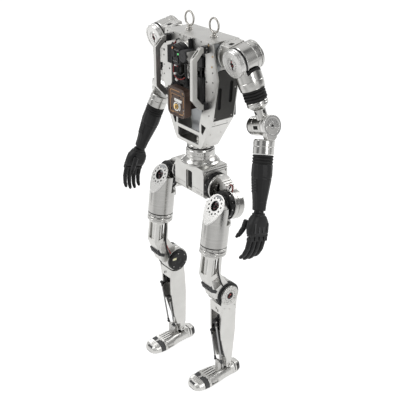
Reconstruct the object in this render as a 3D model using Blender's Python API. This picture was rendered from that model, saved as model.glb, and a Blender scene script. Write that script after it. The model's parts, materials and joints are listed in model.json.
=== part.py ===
"""Humanoid robot kit, 1.28 m tall: torso, two arms with hands, waist, pelvis and two legs.

Units are metres, +Z up. The robot faces -Y and its left side is +X.
The origin is on the ground at the centre of the robot's bounding box.
Everything is laid out in a design frame; OFFSET moves that frame onto the origin.
"""
import math

import bpy
import bmesh
from mathutils import Matrix, Vector

for old in list(bpy.data.objects):
    bpy.data.objects.remove(old, do_unlink=True)

# ------------------------------------------------------------------ driving dimensions
OFFSET = Vector((0.0, 0.043, -0.018))   # design frame to part frame
GAP = 0.0004                 # gap between neighbouring pieces
TOP_Z = 1.2405               # top plate, upper face
RING_TOP_Z = 1.300           # eyebolt crown
FRONT_Y = -0.0525            # torso front plate, outer face
FRONT_T = 0.006
WAIST_Y = -0.004             # waist and hip pitch axes lie in this plane
WAIST_Z = 0.870              # waist turns here
HIP_Z = 0.752                # hip pitch axis
HIP_R = 0.047
ROLL_O = Vector((0.1557, -0.0652, 0.7241))     # hip roll axis, left
ROLL_A = Vector((0, -0.983, 0.181)).normalized()
FLANGE_N = Vector((0, -0.83, 0.56)).normalized()
THIGH_A = Vector((0.0, 0.122, 0.9925)).normalized()   # thigh housing axis, upwards
YAW_O = Vector((0.1529, -0.0677, 0.5717))      # hip yaw joint centre
KNEE = Vector((0.150, -0.021, 0.384))
KNEE_R = 0.040
ANKLE = Vector((0.140, 0.0, 0.070))
SHOULDER = Vector((0.12, 0.0, 1.200))          # shoulder pitch axis
SR_O = Vector((0.2012, 0.0, 1.2015))           # shoulder roll centre
SR_A = Vector((0, -0.972, -0.234)).normalized()
ARM_D = Vector((0.28, 0.194, -0.941)).normalized()
ELBOW = Vector((0.260, 0.041, 1.003))
ELBOW_A = Vector((0.9597, -0.0333, 0.2787)).normalized()
FORE_O = Vector((0.2743, 0.0282, 0.9664))      # top of the forearm barrel
WRIST = Vector((0.3276, -0.0315, 0.7620))
FORE_D = (WRIST - FORE_O).normalized()
KNUCKLE = Vector((0.3463, -0.0533, 0.6833))
HAND_D = (KNUCKLE - WRIST).normalized()
SEG = 18                     # sides of a round piece


# ------------------------------------------------------------------ materials
def material(name, colour, metallic, roughness):
    m = bpy.data.materials.new(name)
    m.use_nodes = True
    b = m.node_tree.nodes["Principled BSDF"]
    b.inputs["Base Color"].default_value = (*colour, 1)
    b.inputs["Metallic"].default_value = metallic
    b.inputs["Roughness"].default_value = roughness
    return m


MAT = {
    "aluminium": material("satin_aluminium", (0.66, 0.65, 0.62), 1.0, 0.30),
    "brushed": material("brushed_aluminium", (0.58, 0.57, 0.54), 1.0, 0.34),
    "dark": material("dark_panel", (0.048, 0.047, 0.044), 0.0, 0.55),
    "black": material("black_plastic", (0.012, 0.012, 0.012), 0.0, 0.42),
    "rubber": material("black_rubber", (0.010, 0.010, 0.010), 0.0, 0.70),
    "hand": material("hand_plastic", (0.016, 0.016, 0.017), 0.0, 0.48),
    "box": material("bronze_box", (0.090, 0.052, 0.036), 0.2, 0.45),
    "gold": material("gold_button", (0.80, 0.48, 0.13), 0.9, 0.30),
    "steel": material("eyebolt_steel", (0.50, 0.49, 0.47), 1.0, 0.28),
}


# ------------------------------------------------------------------ mesh helpers
def mesh_object(name, verts, faces):
    bm = bmesh.new()
    vs = [bm.verts.new(v) for v in verts]
    for f in faces:
        bm.faces.new([vs[i] for i in f])
    bmesh.ops.recalc_face_normals(bm, faces=bm.faces)
    me = bpy.data.meshes.new(name)
    bm.to_mesh(me)
    bm.free()
    o = bpy.data.objects.new(name, me)
    bpy.context.scene.collection.objects.link(o)
    return o


def prism(poly, axis, lo, hi):
    """Extrudes a polygon along x, y or z. The polygon's coordinates are the other two axes in order."""
    def put(p, h):
        if axis == "x":
            return (h, p[0], p[1])
        if axis == "y":
            return (p[0], h, p[1])
        return (p[0], p[1], h)
    n = len(poly)
    verts = [put(p, lo) for p in poly] + [put(p, hi) for p in poly]
    faces = [list(range(n)), list(range(n, 2 * n))[::-1]]
    for i in range(n):
        j = (i + 1) % n
        faces.append([i, j, n + j, n + i])
    return mesh_object("prism", verts, faces)


def frame_of(axis):
    """Two unit vectors square to an axis; the first is as level as it can be."""
    a = Vector(axis).normalized()
    ref = Vector((0, 0, 1)) if abs(a.z) < 0.9 else Vector((0, 1, 0))
    u = ref.cross(a).normalized()
    return u, a.cross(u).normalized(), a


def lathe(profile, origin, axis, seg=SEG, phase=0.0):
    """Turns (radius, distance along the axis) points. Zero radius closes an end; a ring profile stays open in the middle."""
    u, v, a = frame_of(axis)
    o = Vector(origin)
    rings, verts, faces = [], [], []
    for r, s in profile:
        if r < 1e-7:
            rings.append([len(verts)])
            verts.append(o + a * s)
        else:
            rings.append(list(range(len(verts), len(verts) + seg)))
            for k in range(seg):
                t = 2 * math.pi * (k + phase) / seg
                verts.append(o + a * s + u * (r * math.cos(t)) + v * (r * math.sin(t)))
    closed = profile[0][0] > 1e-7
    pairs = list(zip(rings, rings[1:])) + ([(rings[-1], rings[0])] if closed else [])
    for p, q in pairs:
        for k in range(seg):
            j = (k + 1) % seg
            if len(p) == 1 and len(q) == 1:
                continue
            if len(p) == 1:
                faces.append([p[0], q[j], q[k]])
            elif len(q) == 1:
                faces.append([p[k], p[j], q[0]])
            else:
                faces.append([p[k], p[j], q[j], q[k]])
    return mesh_object("lathe", verts, faces)


def cyl(origin, axis, r, s0, s1, seg=SEG):
    """A round bar between two distances along an axis."""
    u, v, a = frame_of(axis)
    o = Vector(origin)
    ring = [u * (r * math.cos(2 * math.pi * k / seg)) + v * (r * math.sin(2 * math.pi * k / seg)) for k in range(seg)]
    verts = [o + a * s0 + p for p in ring] + [o + a * s1 + p for p in ring]
    faces = [list(range(seg)), list(range(seg, 2 * seg))[::-1]]
    faces += [[k, (k + 1) % seg, seg + (k + 1) % seg, seg + k] for k in range(seg)]
    return mesh_object("cyl", verts, faces)


def loft(sections):
    """Joins rings of equal count into one closed skin with flat ends."""
    n = len(sections[0])
    verts = [Vector(p) for s in sections for p in s]
    faces = [list(range(n)), list(range((len(sections) - 1) * n, len(sections) * n))[::-1]]
    for i in range(len(sections) - 1):
        for k in range(n):
            j = (k + 1) % n
            faces.append([i * n + k, i * n + j, (i + 1) * n + j, (i + 1) * n + k])
    return mesh_object("loft", verts, faces)


def boolean(a, b, op):
    """Combines two solids and removes the second."""
    m = a.modifiers.new("bool", "BOOLEAN")
    m.operation = op
    m.object = b
    m.solver = "EXACT"
    bpy.context.view_layer.update()
    dg = bpy.context.evaluated_depsgraph_get()
    me = bpy.data.meshes.new_from_object(a.evaluated_get(dg))
    a.modifiers.clear()
    a.data = me
    bpy.data.objects.remove(b, do_unlink=True)
    return a


def union(a, *more):
    for b in more:
        boolean(a, b, "UNION")
    return a


def cut(a, *more):
    for b in more:
        boolean(a, b, "DIFFERENCE")
    return a


def box(x0, x1, y0, y1, z0, z1):
    return prism([(y0, z0), (y1, z0), (y1, z1), (y0, z1)], "x", x0, x1)


def oriented_box(centre, u, v, w, hu, hv, hw):
    """A block with half sizes along three unit vectors."""
    c = Vector(centre)
    verts = [c + u * (a * hu) + v * (b * hv) + w * (d * hw) for a in (-1, 1) for b in (-1, 1) for d in (-1, 1)]
    faces = [[0, 1, 3, 2], [4, 6, 7, 5], [0, 4, 5, 1], [2, 3, 7, 6], [0, 2, 6, 4], [1, 5, 7, 3]]
    return mesh_object("block", verts, faces)


# ------------------------------------------------------------------ joints and parenting
ROOT = bpy.data.objects.new("robot_frame", None)
bpy.context.scene.collection.objects.link(ROOT)
ROOT.location = OFFSET
PIVOTS = {"": (ROOT, Vector((0, 0, 0)))}


def pivot(name, point, parent=""):
    e = bpy.data.objects.new("axis_" + name, None)
    bpy.context.scene.collection.objects.link(e)
    par, where = PIVOTS[parent]
    e.parent = par
    e.location = Vector(point) - where
    PIVOTS[name] = (e, Vector(point))


def finish(o, name, mat, joint=""):
    """Names a piece, gives it its material and hangs it on its joint's axis."""
    o.name = name
    o.data.name = name
    o.data.materials.clear()
    o.data.materials.append(MAT[mat])
    for p in o.data.polygons:
        p.material_index = 0
    par, where = PIVOTS[joint]
    o.data.transform(Matrix.Translation(-where))
    o.parent = par
    o.data.shade_smooth()
    o.data.set_sharp_from_angle(angle=math.radians(32))
    return o


def mirrored(o):
    """The mirror image of a piece across the robot's middle plane, as a piece of its own."""
    me = o.data.copy()
    me.transform(Matrix.Scale(-1, 4, (1, 0, 0)))
    me.flip_normals()
    m = bpy.data.objects.new(o.name + "_m", me)
    bpy.context.scene.collection.objects.link(m)
    return m


def pair(o, base, mat, joint):
    """Hands in a left piece and its right-hand mirror image."""
    other = mirrored(o)
    finish(o, base + "_left", mat, joint + "_left" if joint else "")
    finish(other, base + "_right", mat, joint + "_right" if joint else "")


def pivots(name, point, parent=""):
    p = Vector(point)
    pivot(name + "_left", p, parent + "_left" if parent.startswith(("hip", "thigh", "knee", "ankle", "crank", "shoulder", "arm", "elbow", "fore", "wrist")) else parent)
    pivot(name + "_right", (-p.x, p.y, p.z), parent + "_right" if parent.startswith(("hip", "thigh", "knee", "ankle", "crank", "shoulder", "arm", "elbow", "fore", "wrist")) else parent)


pivot("waist", (0, WAIST_Y, WAIST_Z))
pivot("button", (0.006, -0.1045, 1.025))
pivots("hip_pitch", (0.09, WAIST_Y, HIP_Z), "waist")
pivots("hip_roll", ROLL_O, "hip_pitch")
pivots("thigh_yaw", YAW_O, "hip_roll")
pivots("knee", KNEE, "thigh_yaw")
CRANK_A, PIN_A = Vector((0.160, -0.034, 0.289)), Vector((0.160, -0.0627, 0.280))
CRANK_B, PIN_B = Vector((0.131, -0.030, 0.232)), Vector((0.131, -0.0526, 0.2236))
pivots("crank_a", CRANK_A, "knee")
pivots("crank_b", CRANK_B, "knee")
pivots("crank_a_rod", PIN_A, "crank_a")
pivots("crank_b_rod", PIN_B, "crank_b")
pivots("ankle_pitch", ANKLE, "knee")
pivots("ankle_roll", ANKLE, "ankle_pitch")
pivots("shoulder_pitch", SHOULDER)
pivots("shoulder_roll", SR_O, "shoulder_pitch")
pivots("arm_yaw", SR_O + ARM_D * 0.0910, "shoulder_roll")
pivots("elbow", ELBOW, "arm_yaw")
pivots("forearm_yaw", FORE_O + FORE_D * 0.0462, "elbow")
pivots("wrist", WRIST, "forearm_yaw")
hand_n = (Vector((-1, 0, 0)) - HAND_D * Vector((-1, 0, 0)).dot(HAND_D)).normalized()   # out of the palm
hand_w = hand_n.cross(HAND_D).normalized()
if hand_w.y > 0:
    hand_w.negate()                                                                     # towards the thumb
THUMB = WRIST + HAND_D * 0.028 + hand_w * 0.022 + hand_n * 0.0270
pivots("wrist_fingers", KNUCKLE, "wrist")
pivots("wrist_thumb", THUMB, "wrist")

# ------------------------------------------------------------------ torso
# front plate with the chest opening and the windows of its lower end
half = [(0.1205, TOP_Z), (0.147, 1.130), (0.121, 0.994), (0.074, 0.899), (0.063, 0.886)]
outline = half + [(-x, z) for x, z in reversed(half)]
front = prism(outline, "y", FRONT_Y, FRONT_Y + FRONT_T)
chest = [(-0.088, 1.203), (0.088, 1.203), (0.088, 1.040), (0.066, 1.003), (0.057, 0.968), (0.057, 0.941),
         (-0.060, 0.941), (-0.060, 0.968), (-0.068, 1.003), (-0.090, 1.040)]
cut(front, prism(chest, "y", -0.07, -0.03))
cut(front, prism([(-0.058, 0.929), (0.053, 0.929), (0.053, 0.897), (0.040, 0.897), (-0.045, 0.897), (-0.058, 0.903)], "y", -0.07, -0.03))
for s in (1, -1):
    cut(front, prism([(s * 0.067, 0.972), (s * 0.091, 0.967), (s * 0.074, 0.938), (s * 0.067, 0.942)], "y", -0.07, -0.03))
finish(front, "front_frame", "aluminium")

BACK_IN = FRONT_Y + FRONT_T + GAP
top = box(-0.1195, 0.1195, BACK_IN, 0.0530, 1.2360, TOP_Z)
for s in (1, -1):
    cut(top, cyl((s * 0.0624, 0, 1.2), (0, 0, 1), 0.0048, 0, 0.08, 12))
finish(top, "top_plate", "aluminium")

# bent back cover: (height, outer depth, half width)
stations = [(1.2356, 0.0530, 0.1195), (1.0960, 0.0530, 0.1195), (0.9940, 0.0370, 0.1195), (0.8870, 0.0200, 0.0630)]
rings = []
for z, y, w in stations:
    rings.append([(-w, y, z), (w, y, z), (w, y - 0.004, z), (-w, y - 0.004, z)])
back = loft(rings)
for k in range(5):
    cut(back, box(-0.045, 0.045, 0.03, 0.07, 1.115 + 0.018 * k, 1.121 + 0.018 * k))
finish(back, "back_cover", "aluminium")

# dark side panels with two upright slots
panel = prism([(BACK_IN, 0.9950), (0.0325, 0.9950), (0.0485, 1.0960), (0.0485, 1.1500), (BACK_IN, 1.1500)], "x", 0.1150, 0.1190)
for y0, y1, z0, z1 in ((-0.034, -0.024, 1.035, 1.102), (0.010, 0.020, 1.045, 1.112)):
    cut(panel, prism([(y0, z0), (y1, z0), (y1 + 0.002, z1), (y0 + 0.002, z1)], "x", 0.10, 0.13))
pair(panel, "side_panel", "dark", "")

# folded lower shell: two sloping side covers and the floor that the waist collar passes through
outer = [(-0.1203, 0.9935), (-0.0655, 0.8868), (0.0655, 0.8868), (0.1203, 0.9935)]
inner = [(-0.1160, 0.9935), (-0.0628, 0.8905), (0.0628, 0.8905), (0.1160, 0.9935)]


def rear(z):
    return 0.0155 + (z - 0.8868) / (0.9935 - 0.8868) * 0.0165


loop = outer + inner[::-1]
shell = loft([[(x, BACK_IN, z) for x, z in loop], [(x, rear(z), z) for x, z in loop]])
cut(shell, cyl((0, WAIST_Y, 0.87), (0, 0, 1), 0.0156, 0, 0.05, 12))
finish(shell, "lower_shell", "aluminium")

# inner spine: waist collar, column and the shoulder actuators' cross tube
spine = lathe([(0, 0.8706), (0.0430, 0.8706), (0.0450, 0.8726), (0.0450, 0.8780), (0.0430, 0.8854), (0.0150, 0.8854), (0.0150, 0.905), (0, 0.905)],
              (0, WAIST_Y, 0), (0, 0, 1))
union(spine, box(-0.028, 0.028, -0.020, 0.012, 0.900, 1.220),
      cyl((0, 0, 1.2), (1, 0, 0), 0.034, -0.1195, 0.1195))
finish(spine, "torso_spine", "aluminium")

# shoulder side plates close the torso beside each shoulder actuator
grip = [(FRONT_Y - GAP, 1.226), (-0.080, 1.226), (-0.1125, 1.193), (-0.1125, 1.069), (-0.080, 1.033), (FRONT_Y - GAP, 1.033),
        (FRONT_Y - GAP, 1.050), (-0.073, 1.050), (-0.0945, 1.076), (-0.0945, 1.186), (-0.073, 1.209), (FRONT_Y - GAP, 1.209)]
pair(prism(grip, "x", 0.0895, 0.1025), "grab_handle", "aluminium", "")

# eyebolts: ring, shank and collar in one forging
RING_R, WIRE = 0.0218, 0.0032
RING_C = RING_TOP_Z - RING_R - WIRE
ring_verts, ring_faces = [], []
NA, NB = 18, 6
for i in range(NA):
    a = 2 * math.pi * i / NA
    for j in range(NB):
        b = 2 * math.pi * (j + 0.5) / NB
        rr = RING_R + WIRE * math.cos(b)
        ring_verts.append((0.0624 + rr * math.cos(a), WIRE * math.sin(b), RING_C + rr * math.sin(a)))
for i in range(NA):
    for j in range(NB):
        p, q = (i + 1) % NA, (j + 1) % NB
        ring_faces.append([i * NB + j, i * NB + q, p * NB + q, p * NB + j])
eye = mesh_object("eye", ring_verts, ring_faces)
shank_e = lathe([(0, 1.2352), (0.0042, 1.2352), (0.0042, TOP_Z + 0.0004), (0.0105, TOP_Z + 0.0004), (0.0105, 1.2445), (0.0062, 1.2470), (0.0048, 1.2530), (0, 1.2530)],
                (0.0624, 0, 0), (0, 0, 1), 20)
pair(union(eye, shank_e), "eyebolt", "steel", "")

# chest contents
battery = prism([(0.036, -0.062), (0.076, -0.062), (0.084, -0.054), (0.084, 0.020), (0.036, 0.020)], "z", 1.044, 1.126)
finish(battery, "battery_pack", "black")
ctrl = prism([(-0.084, -0.050), (-0.036, -0.050), (-0.036, 0.020), (-0.084, 0.020)], "z", 1.044, 1.158)
finish(ctrl, "controller_unit", "dark")
# driver module: a finned block on a short stalk
mod = box(-0.051, 0.029, -0.096, -0.060, 1.150, 1.222)
cut(mod, cyl((-0.011, 0, 1.186), (0, 1, 0), 0.028, -0.12, -0.088, 12))
union(mod, box(-0.020, 0.020, -0.070, -0.0350, 1.172, 1.200))
finish(mod, "driver_module", "black")
# control box with chamfered corners on a stalk, holed for its button
cx, c0, c1 = 0.004, 0.991, 1.085
w, ch = 0.0455, 0.013
octo = [(cx - w, c0 + ch), (cx - w + ch, c0), (cx + w - ch, c0), (cx + w, c0 + ch), (cx + w, c1 - ch), (cx + w - ch, c1), (cx - w + ch, c1), (cx - w, c1 - ch)]
cbox = prism(octo, "y", -0.1045, -0.080)
union(cbox, box(-0.024, 0.024, -0.082, -0.0204, 1.010, 1.060))
cut(cbox, cyl((0.006, 0, 1.025), (0, 1, 0), 0.0098, -0.12, -0.0930, 20))
finish(cbox, "control_box", "box")
finish(cyl((0.006, 0, 1.025), (0, 1, 0), 0.0092, -0.1085, -0.0965, 20), "power_button", "gold", "button")

# ------------------------------------------------------------------ waist and pelvis
waist = lathe([(0, 0.8154), (0.0640, 0.8154), (0.0640, 0.8190), (0.0600, 0.8215), (0.0545, 0.8290), (0.0480, 0.8330), (0.0480, 0.8610),
               (0.0450, 0.8650), (0.0450, 0.8702), (0, 0.8702)], (0, WAIST_Y, 0), (0, 0, 1), 20)
finish(waist, "waist_actuator", "brushed", "waist")

pelvis = prism([(-0.0520, 0.7230), (-0.0430, 0.7120), (0.0400, 0.7120), (0.0480, 0.7230), (0.0480, 0.8150), (-0.0520, 0.8150)], "x", -0.0785, 0.0785)
cut(pelvis, box(-0.0150, 0.0150, -0.07, -0.020, 0.7240, 0.7910))
for s in (1, -1):
    cut(pelvis, prism([(s * 0.0740, 0.830), (s * 0.0740, 0.8000), (s * 0.090, 0.7985), (s * 0.090, 0.830)], "y", -0.1, 0.1))
union(pelvis, cyl((0, WAIST_Y, HIP_Z), (1, 0, 0), HIP_R, -0.0950, 0.0950, 20))
cut(pelvis, box(-0.0150, 0.0150, -0.07, -0.020, 0.7240, 0.7910))
finish(pelvis, "pelvis_block", "aluminium", "waist")

# ------------------------------------------------------------------ hips (left, mirrored for right)
bracket = cyl((0, WAIST_Y, HIP_Z), (1, 0, 0), 0.0445, 0.0954, 0.1040)
web = prism([(0.0960, 0.7940), (0.1200, 0.7925), (0.1500, 0.7760), (0.1640, 0.7640), (0.1640, 0.7000), (0.1150, 0.7050), (0.0960, 0.7200)], "y", -0.0150, 0.0200)
cut(web, cyl(ROLL_O, -ROLL_A, 0.0480, -0.05, 0.0470, 20))
union(bracket, web, lathe([(0, 0.0470), (0.0490, 0.0470), (0.0490, 0.0830), (0.0450, 0.0880), (0, 0.0880)], ROLL_O, -ROLL_A, 20))
pair(bracket, "hip_bracket", "aluminium", "hip_pitch")

roll_ring = lathe([(0, 0.0300), (0.0470, 0.0300), (0.0470, 0.0465), (0, 0.0465)], ROLL_O, -ROLL_A, 20)
pair(roll_ring, "hip_roll_ring", "black", "hip_roll")

# thigh housing: a round body cut by the sloping flange face, with a hub that carries the flange
THIGH_BASE = YAW_O + THIGH_A * 0.0012
thigh = cyl(THIGH_BASE, THIGH_A, 0.0450, 0.0, 0.1500, 20)
hub = cyl(ROLL_O, FLANGE_N, 0.0400, -0.0460, 0.0, 20)
union(thigh, hub)
# the flange face slopes across the front, and the back is cut square to the roll axis to clear the ring
cut(thigh, oriented_box(ROLL_O + FLANGE_N * 0.15, Vector((1, 0, 0)), FLANGE_N.cross(Vector((1, 0, 0))), FLANGE_N, 0.2, 0.3, 0.15),
    oriented_box(ROLL_O - ROLL_A * (0.0260 + 0.1), Vector((1, 0, 0)), ROLL_A.cross(Vector((1, 0, 0))), ROLL_A, 0.2, 0.0560, 0.1))
union(thigh, cyl(ROLL_O, ROLL_A, 0.0330, -0.0296, -0.0100, 12))
cut(thigh, cyl(ROLL_O, FLANGE_N, 0.0180, -0.0120, 0.02, 20))
pair(thigh, "thigh_housing", "brushed", "hip_roll")

# ------------------------------------------------------------------ thigh link with the knee housing
link = lathe([(0, -0.0200), (0.0400, -0.0200), (0.0450, -0.0160), (0.0450, -0.0040), (0.0420, 0.0), (0, 0.0)], YAW_O, THIGH_A, 20)
side = [(-0.0990, 0.5560), (-0.1100, 0.4780), (-0.0790, 0.3800), (-0.0660, 0.3300), (-0.0600, 0.3300), (-0.0560, 0.3500), (-0.0400, 0.3800), (0.0, 0.3900),
        (0.0020, 0.4100), (-0.0220, 0.4300), (-0.0540, 0.4780), (-0.0480, 0.5560)]
blade = prism(side, "x", 0.1270, 0.1790)
union(blade, cyl((0, KNEE.y, KNEE.z), (1, 0, 0), KNEE_R, 0.1170, 0.1790, 20))
cut(blade, prism([(-0.0900, 0.4600), (-0.0780, 0.4180), (-0.0520, 0.4340), (-0.0660, 0.4700)], "x", 0.10, 0.20),
    prism([(-0.0860, 0.5400), (-0.0940, 0.4800), (-0.0680, 0.4860), (-0.0600, 0.5400)], "x", 0.10, 0.20))
union(link, blade)
pair(link, "thigh_link", "aluminium", "thigh_yaw")

cap = lathe([(0, 0.0), (0.0400, 0.0), (0.0400, 0.0060), (0.0360, 0.0100), (0, 0.0100)], (0.1166, KNEE.y, KNEE.z), (-1, 0, 0))
pair(cap, "knee_motor_cap", "black", "thigh_yaw")

# ------------------------------------------------------------------ shank
body = [(-0.0510, 0.3480), (-0.0500, 0.2400), (-0.0380, 0.1450), (-0.0240, 0.1000), (-0.0100, 0.0960), (0.0140, 0.0960), (0.0150, 0.1300), (0.0170, 0.2300), (0.0120, 0.3100), (0.0080, 0.3480)]
low, high = 0.0960, 0.3480


def half_widths(z):
    t = (z - low) / (high - low)
    return 0.118 - 0.001 * t, 0.162 + 0.021 * t


rings = [[(half_widths(z)[0], y, z) for y, z in body], [(half_widths(z)[1], y, z) for y, z in body]]
shank = loft(rings)
cut(shank, cyl((0, KNEE.y, KNEE.z), (1, 0, 0), KNEE_R + 0.0030, 0.10, 0.1795, 20))
plate = [(-0.0530, 0.3480), (-0.0570, 0.3840), (-0.0463, 0.4093), (-0.0210, 0.4200), (0.0043, 0.4093), (0.0150, 0.3840), (0.0110, 0.3440), (0.0100, 0.3200), (-0.0500, 0.3200)]
union(shank, prism(plate, "x", 0.1795, 0.1880))
# slot for the cranks and push rods, open to the front
cut(shank, prism([(-0.070, 0.0900), (-0.070, 0.3100), (-0.0180, 0.3100), (-0.0140, 0.2100), (-0.0120, 0.0900)], "x", 0.1238, 0.1705))
# fork for the ankle cross, with a cross pin bore on each side
low_fork = prism([(-0.0100, 0.1300), (-0.0115, 0.0700), (-0.0070, 0.0600), (0.0070, 0.0600), (0.0115, 0.0700), (0.0130, 0.1300)], "x", 0.1180, 0.1620)
union(shank, low_fork)
cut(shank, prism([(-0.0700, 0.1050), (-0.0700, 0.0400), (0.0500, 0.0400), (0.0500, 0.1050)], "x", 0.1255, 0.1545))
cut(shank, cyl((0, ANKLE.y, ANKLE.z), (1, 0, 0), 0.0055, 0.10, 0.18, 12))
pair(shank, "shank", "aluminium", "knee")


def crank(centre, pin, x0, x1, r_hub, r_pin, pin_x1):
    c, p = Vector(centre), Vector(pin)
    o = cyl((0, c.y, c.z), (1, 0, 0), r_hub, x0, x1, 12)
    d = (p - c)
    d.x = 0
    u = d.normalized()
    v = Vector((1, 0, 0)).cross(u)
    mid = Vector(((x0 + x1) / 2, (c.y + p.y) / 2, (c.z + p.z) / 2))
    union(o, oriented_box(mid, u, v, Vector((1, 0, 0)), d.length / 2, r_pin * 0.92, (x1 - x0) / 2),
          cyl((0, p.y, p.z), (1, 0, 0), r_pin, x0, x1, 12),
          cyl((0, p.y, p.z), (1, 0, 0), 0.0028, min(x0, pin_x1), max(x1, pin_x1), 12))
    return o


def rod(pin, foot, x0, x1, r_eye):
    p, f = Vector(pin), Vector(foot)
    p.x = f.x = (x0 + x1) / 2
    u = (f - p).normalized()
    v = Vector((1, 0, 0)).cross(u)
    o = cyl((0, p.y, p.z), (1, 0, 0), r_eye, x0, x1, 12)
    union(o, oriented_box((p + f) / 2, u, v, Vector((1, 0, 0)), (f - p).length / 2, 0.0032, (x1 - x0) / 2 * 0.9),
          cyl((0, f.y, f.z), (1, 0, 0), r_eye * 0.85, x0, x1, 12))
    cut(o, cyl((0, p.y, p.z), (1, 0, 0), 0.0032, x0 - 0.01, x1 + 0.01, 10))
    return o


FOOT_A, FOOT_B = Vector((0.158, -0.034, 0.093)), Vector((0.122, -0.034, 0.091))
pair(crank(CRANK_A, PIN_A, 0.1510, 0.1590, 0.0150, 0.0062, 0.1665), "ankle_crank_upper", "black", "crank_a")
pair(crank(CRANK_B, PIN_B, 0.1310, 0.1380, 0.0150, 0.0062, 0.1245), "ankle_crank_lower", "black", "crank_b")
pair(rod(PIN_A, FOOT_A, 0.1595, 0.1665, 0.0056), "push_rod_upper", "black", "crank_a_rod")
pair(rod(PIN_B, FOOT_B, 0.1245, 0.1305, 0.0056), "push_rod_lower", "black", "crank_b_rod")

# ankle cross: block with a cross pin to the shank fork and a lengthwise pin to the foot lugs
cross = box(0.1262, 0.1538, -0.0105, 0.0105, 0.0610, 0.0790)
union(cross, cyl((0, ANKLE.y, ANKLE.z), (1, 0, 0), 0.0050, 0.1185, 0.1615, 16), cyl((ANKLE.x, 0, ANKLE.z), (0, 1, 0), 0.0050, -0.0200, 0.0200, 12))
pair(cross, "ankle_cross", "aluminium", "ankle_pitch")

# ------------------------------------------------------------------ foot
FX = 0.1350
SOLE = 0.0180    # the ground in the design frame
# (y, centre shift, half width, height)
secs = [(-0.1480, 0.000, 0.0150, 0.0130), (-0.1440, 0.000, 0.0250, 0.0200), (-0.1340, 0.000, 0.0345, 0.0255), (-0.1150, 0.000, 0.0400, 0.0300),
        (-0.0880, 0.000, 0.0410, 0.0330), (-0.0500, 0.001, 0.0360, 0.0360), (-0.0260, 0.002, 0.0310, 0.0350), (-0.0130, 0.002, 0.0290, 0.0330),
        (0.0150, 0.002, 0.0270, 0.0330), (0.0280, 0.002, 0.0275, 0.0380), (0.0440, 0.002, 0.0265, 0.0390), (0.0560, 0.002, 0.0210, 0.0350), (0.0620, 0.002, 0.0120, 0.0240)]
rings = []
for y, dx, hw, h in secs:
    c = FX + dx
    rings.append([(c + hw * a, y, SOLE + h * k) for a, k in ((-0.92, 0), (0.92, 0), (1, 0.22), (0.97, 0.55), (0.72, 0.92), (0.40, 1),
                                                             (-0.40, 1), (-0.72, 0.92), (-0.97, 0.55), (-1, 0.22))])
foot = loft(rings)
# lengthwise lugs for the cross and the horn that the push rods drive
union(foot, box(0.1310, 0.1490, -0.0190, -0.0115, 0.0400, 0.0790), box(0.1310, 0.1490, 0.0115, 0.0190, 0.0400, 0.0790),
      box(0.1355, 0.1530, -0.0420, -0.0280, 0.0400, 0.0960))
cut(foot, box(0.1150, 0.1650, -0.0112, 0.0112, 0.0530, 0.12), cyl((ANKLE.x, 0, ANKLE.z), (0, 1, 0), 0.0055, -0.03, 0.03, 12))
pair(foot, "foot", "aluminium", "ankle_roll")

# ------------------------------------------------------------------ arms
sb = cyl((0, SHOULDER.y, SHOULDER.z), (1, 0, 0), 0.0430, 0.1200, 0.1400)
up = Vector((1, 0, 0)).cross(SR_A).normalized()
if up.z < 0:
    up.negate()
union(sb, oriented_box(Vector((0.1560, 0.0, 1.2015)) + up * 0.0045 - SR_A * 0.0050, Vector((1, 0, 0)), SR_A, up, 0.0190, 0.0300, 0.0360),
      lathe([(0, -0.0350), (0.0445, -0.0350), (0.0445, 0.0255), (0, 0.0255)], SR_O, SR_A, 20))
pair(sb, "shoulder_bracket", "aluminium", "shoulder_pitch")

# yoke: front and back discs either side of the roll housing, joined under it, running into the upper arm
yoke = lathe([(0, 0.0265), (0.0440, 0.0265), (0.0440, 0.0310), (0.0426, 0.0320), (0.0426, 0.0440), (0.0410, 0.0451), (0, 0.0451)], SR_O, SR_A, 20)
backd = lathe([(0, -0.0480), (0.0400, -0.0480), (0.0440, -0.0450), (0.0440, -0.0360), (0, -0.0360)], SR_O, SR_A, 20)
arm = lathe([(0, 0.0200), (0.0400, 0.0200), (0.0400, 0.0600), (0.0385, 0.0906), (0, 0.0906)], SR_O, ARM_D, 20)
cut(arm, cyl(SR_O, SR_A, 0.0560, -0.0357, 0.0262, 20))
union(yoke, backd, arm)
pair(yoke, "upper_arm", "aluminium", "shoulder_roll")

bell = [(0, 0.0912), (0.0350, 0.0912)]
for k in range(4):
    s = 0.0925 + 0.0088 * k
    bell += [(0.0352, s), (0.0352, s + 0.0056), (0.0322, s + 0.0068), (0.0322, s + 0.0080)]
bell += [(0.0322, 0.1282), (0, 0.1282)]
pair(lathe(bell, SR_O, ARM_D, 16), "arm_bellows", "rubber", "arm_yaw")

fork = lathe([(0, 0.1286), (0.0315, 0.1286), (0.0330, 0.1310), (0.0330, 0.1420), (0.0260, 0.1500), (0.0188, 0.1560), (0.0178, 0.2000), (0, 0.2000)], SR_O, ARM_D, 16)
union(fork, lathe([(0, -0.0560), (0.0230, -0.0560), (0.0290, -0.0540), (0.0305, -0.0470), (0.0305, 0.0190), (0, 0.0190)], ELBOW, ELBOW_A, 20))
pair(fork, "elbow_barrel", "aluminium", "arm_yaw")

fo = lathe([(0, 0.0), (0.0300, 0.0), (0.0325, 0.0030), (0.0325, 0.0450), (0, 0.0450)], FORE_O, FORE_D, 20)
disc = cyl(ELBOW, ELBOW_A, 0.0335, 0.0194, 0.0380, 20)
arm_u = (FORE_O - ELBOW)
arm_u = (arm_u - ELBOW_A * arm_u.dot(ELBOW_A)).normalized()
plate_c = ELBOW + ELBOW_A * 0.0287 + arm_u * 0.0230
union(fo, disc, oriented_box(plate_c, ELBOW_A, arm_u, ELBOW_A.cross(arm_u).normalized(), 0.0093, 0.0210, 0.0240))
pair(fo, "forearm_barrel", "aluminium", "elbow")

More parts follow.
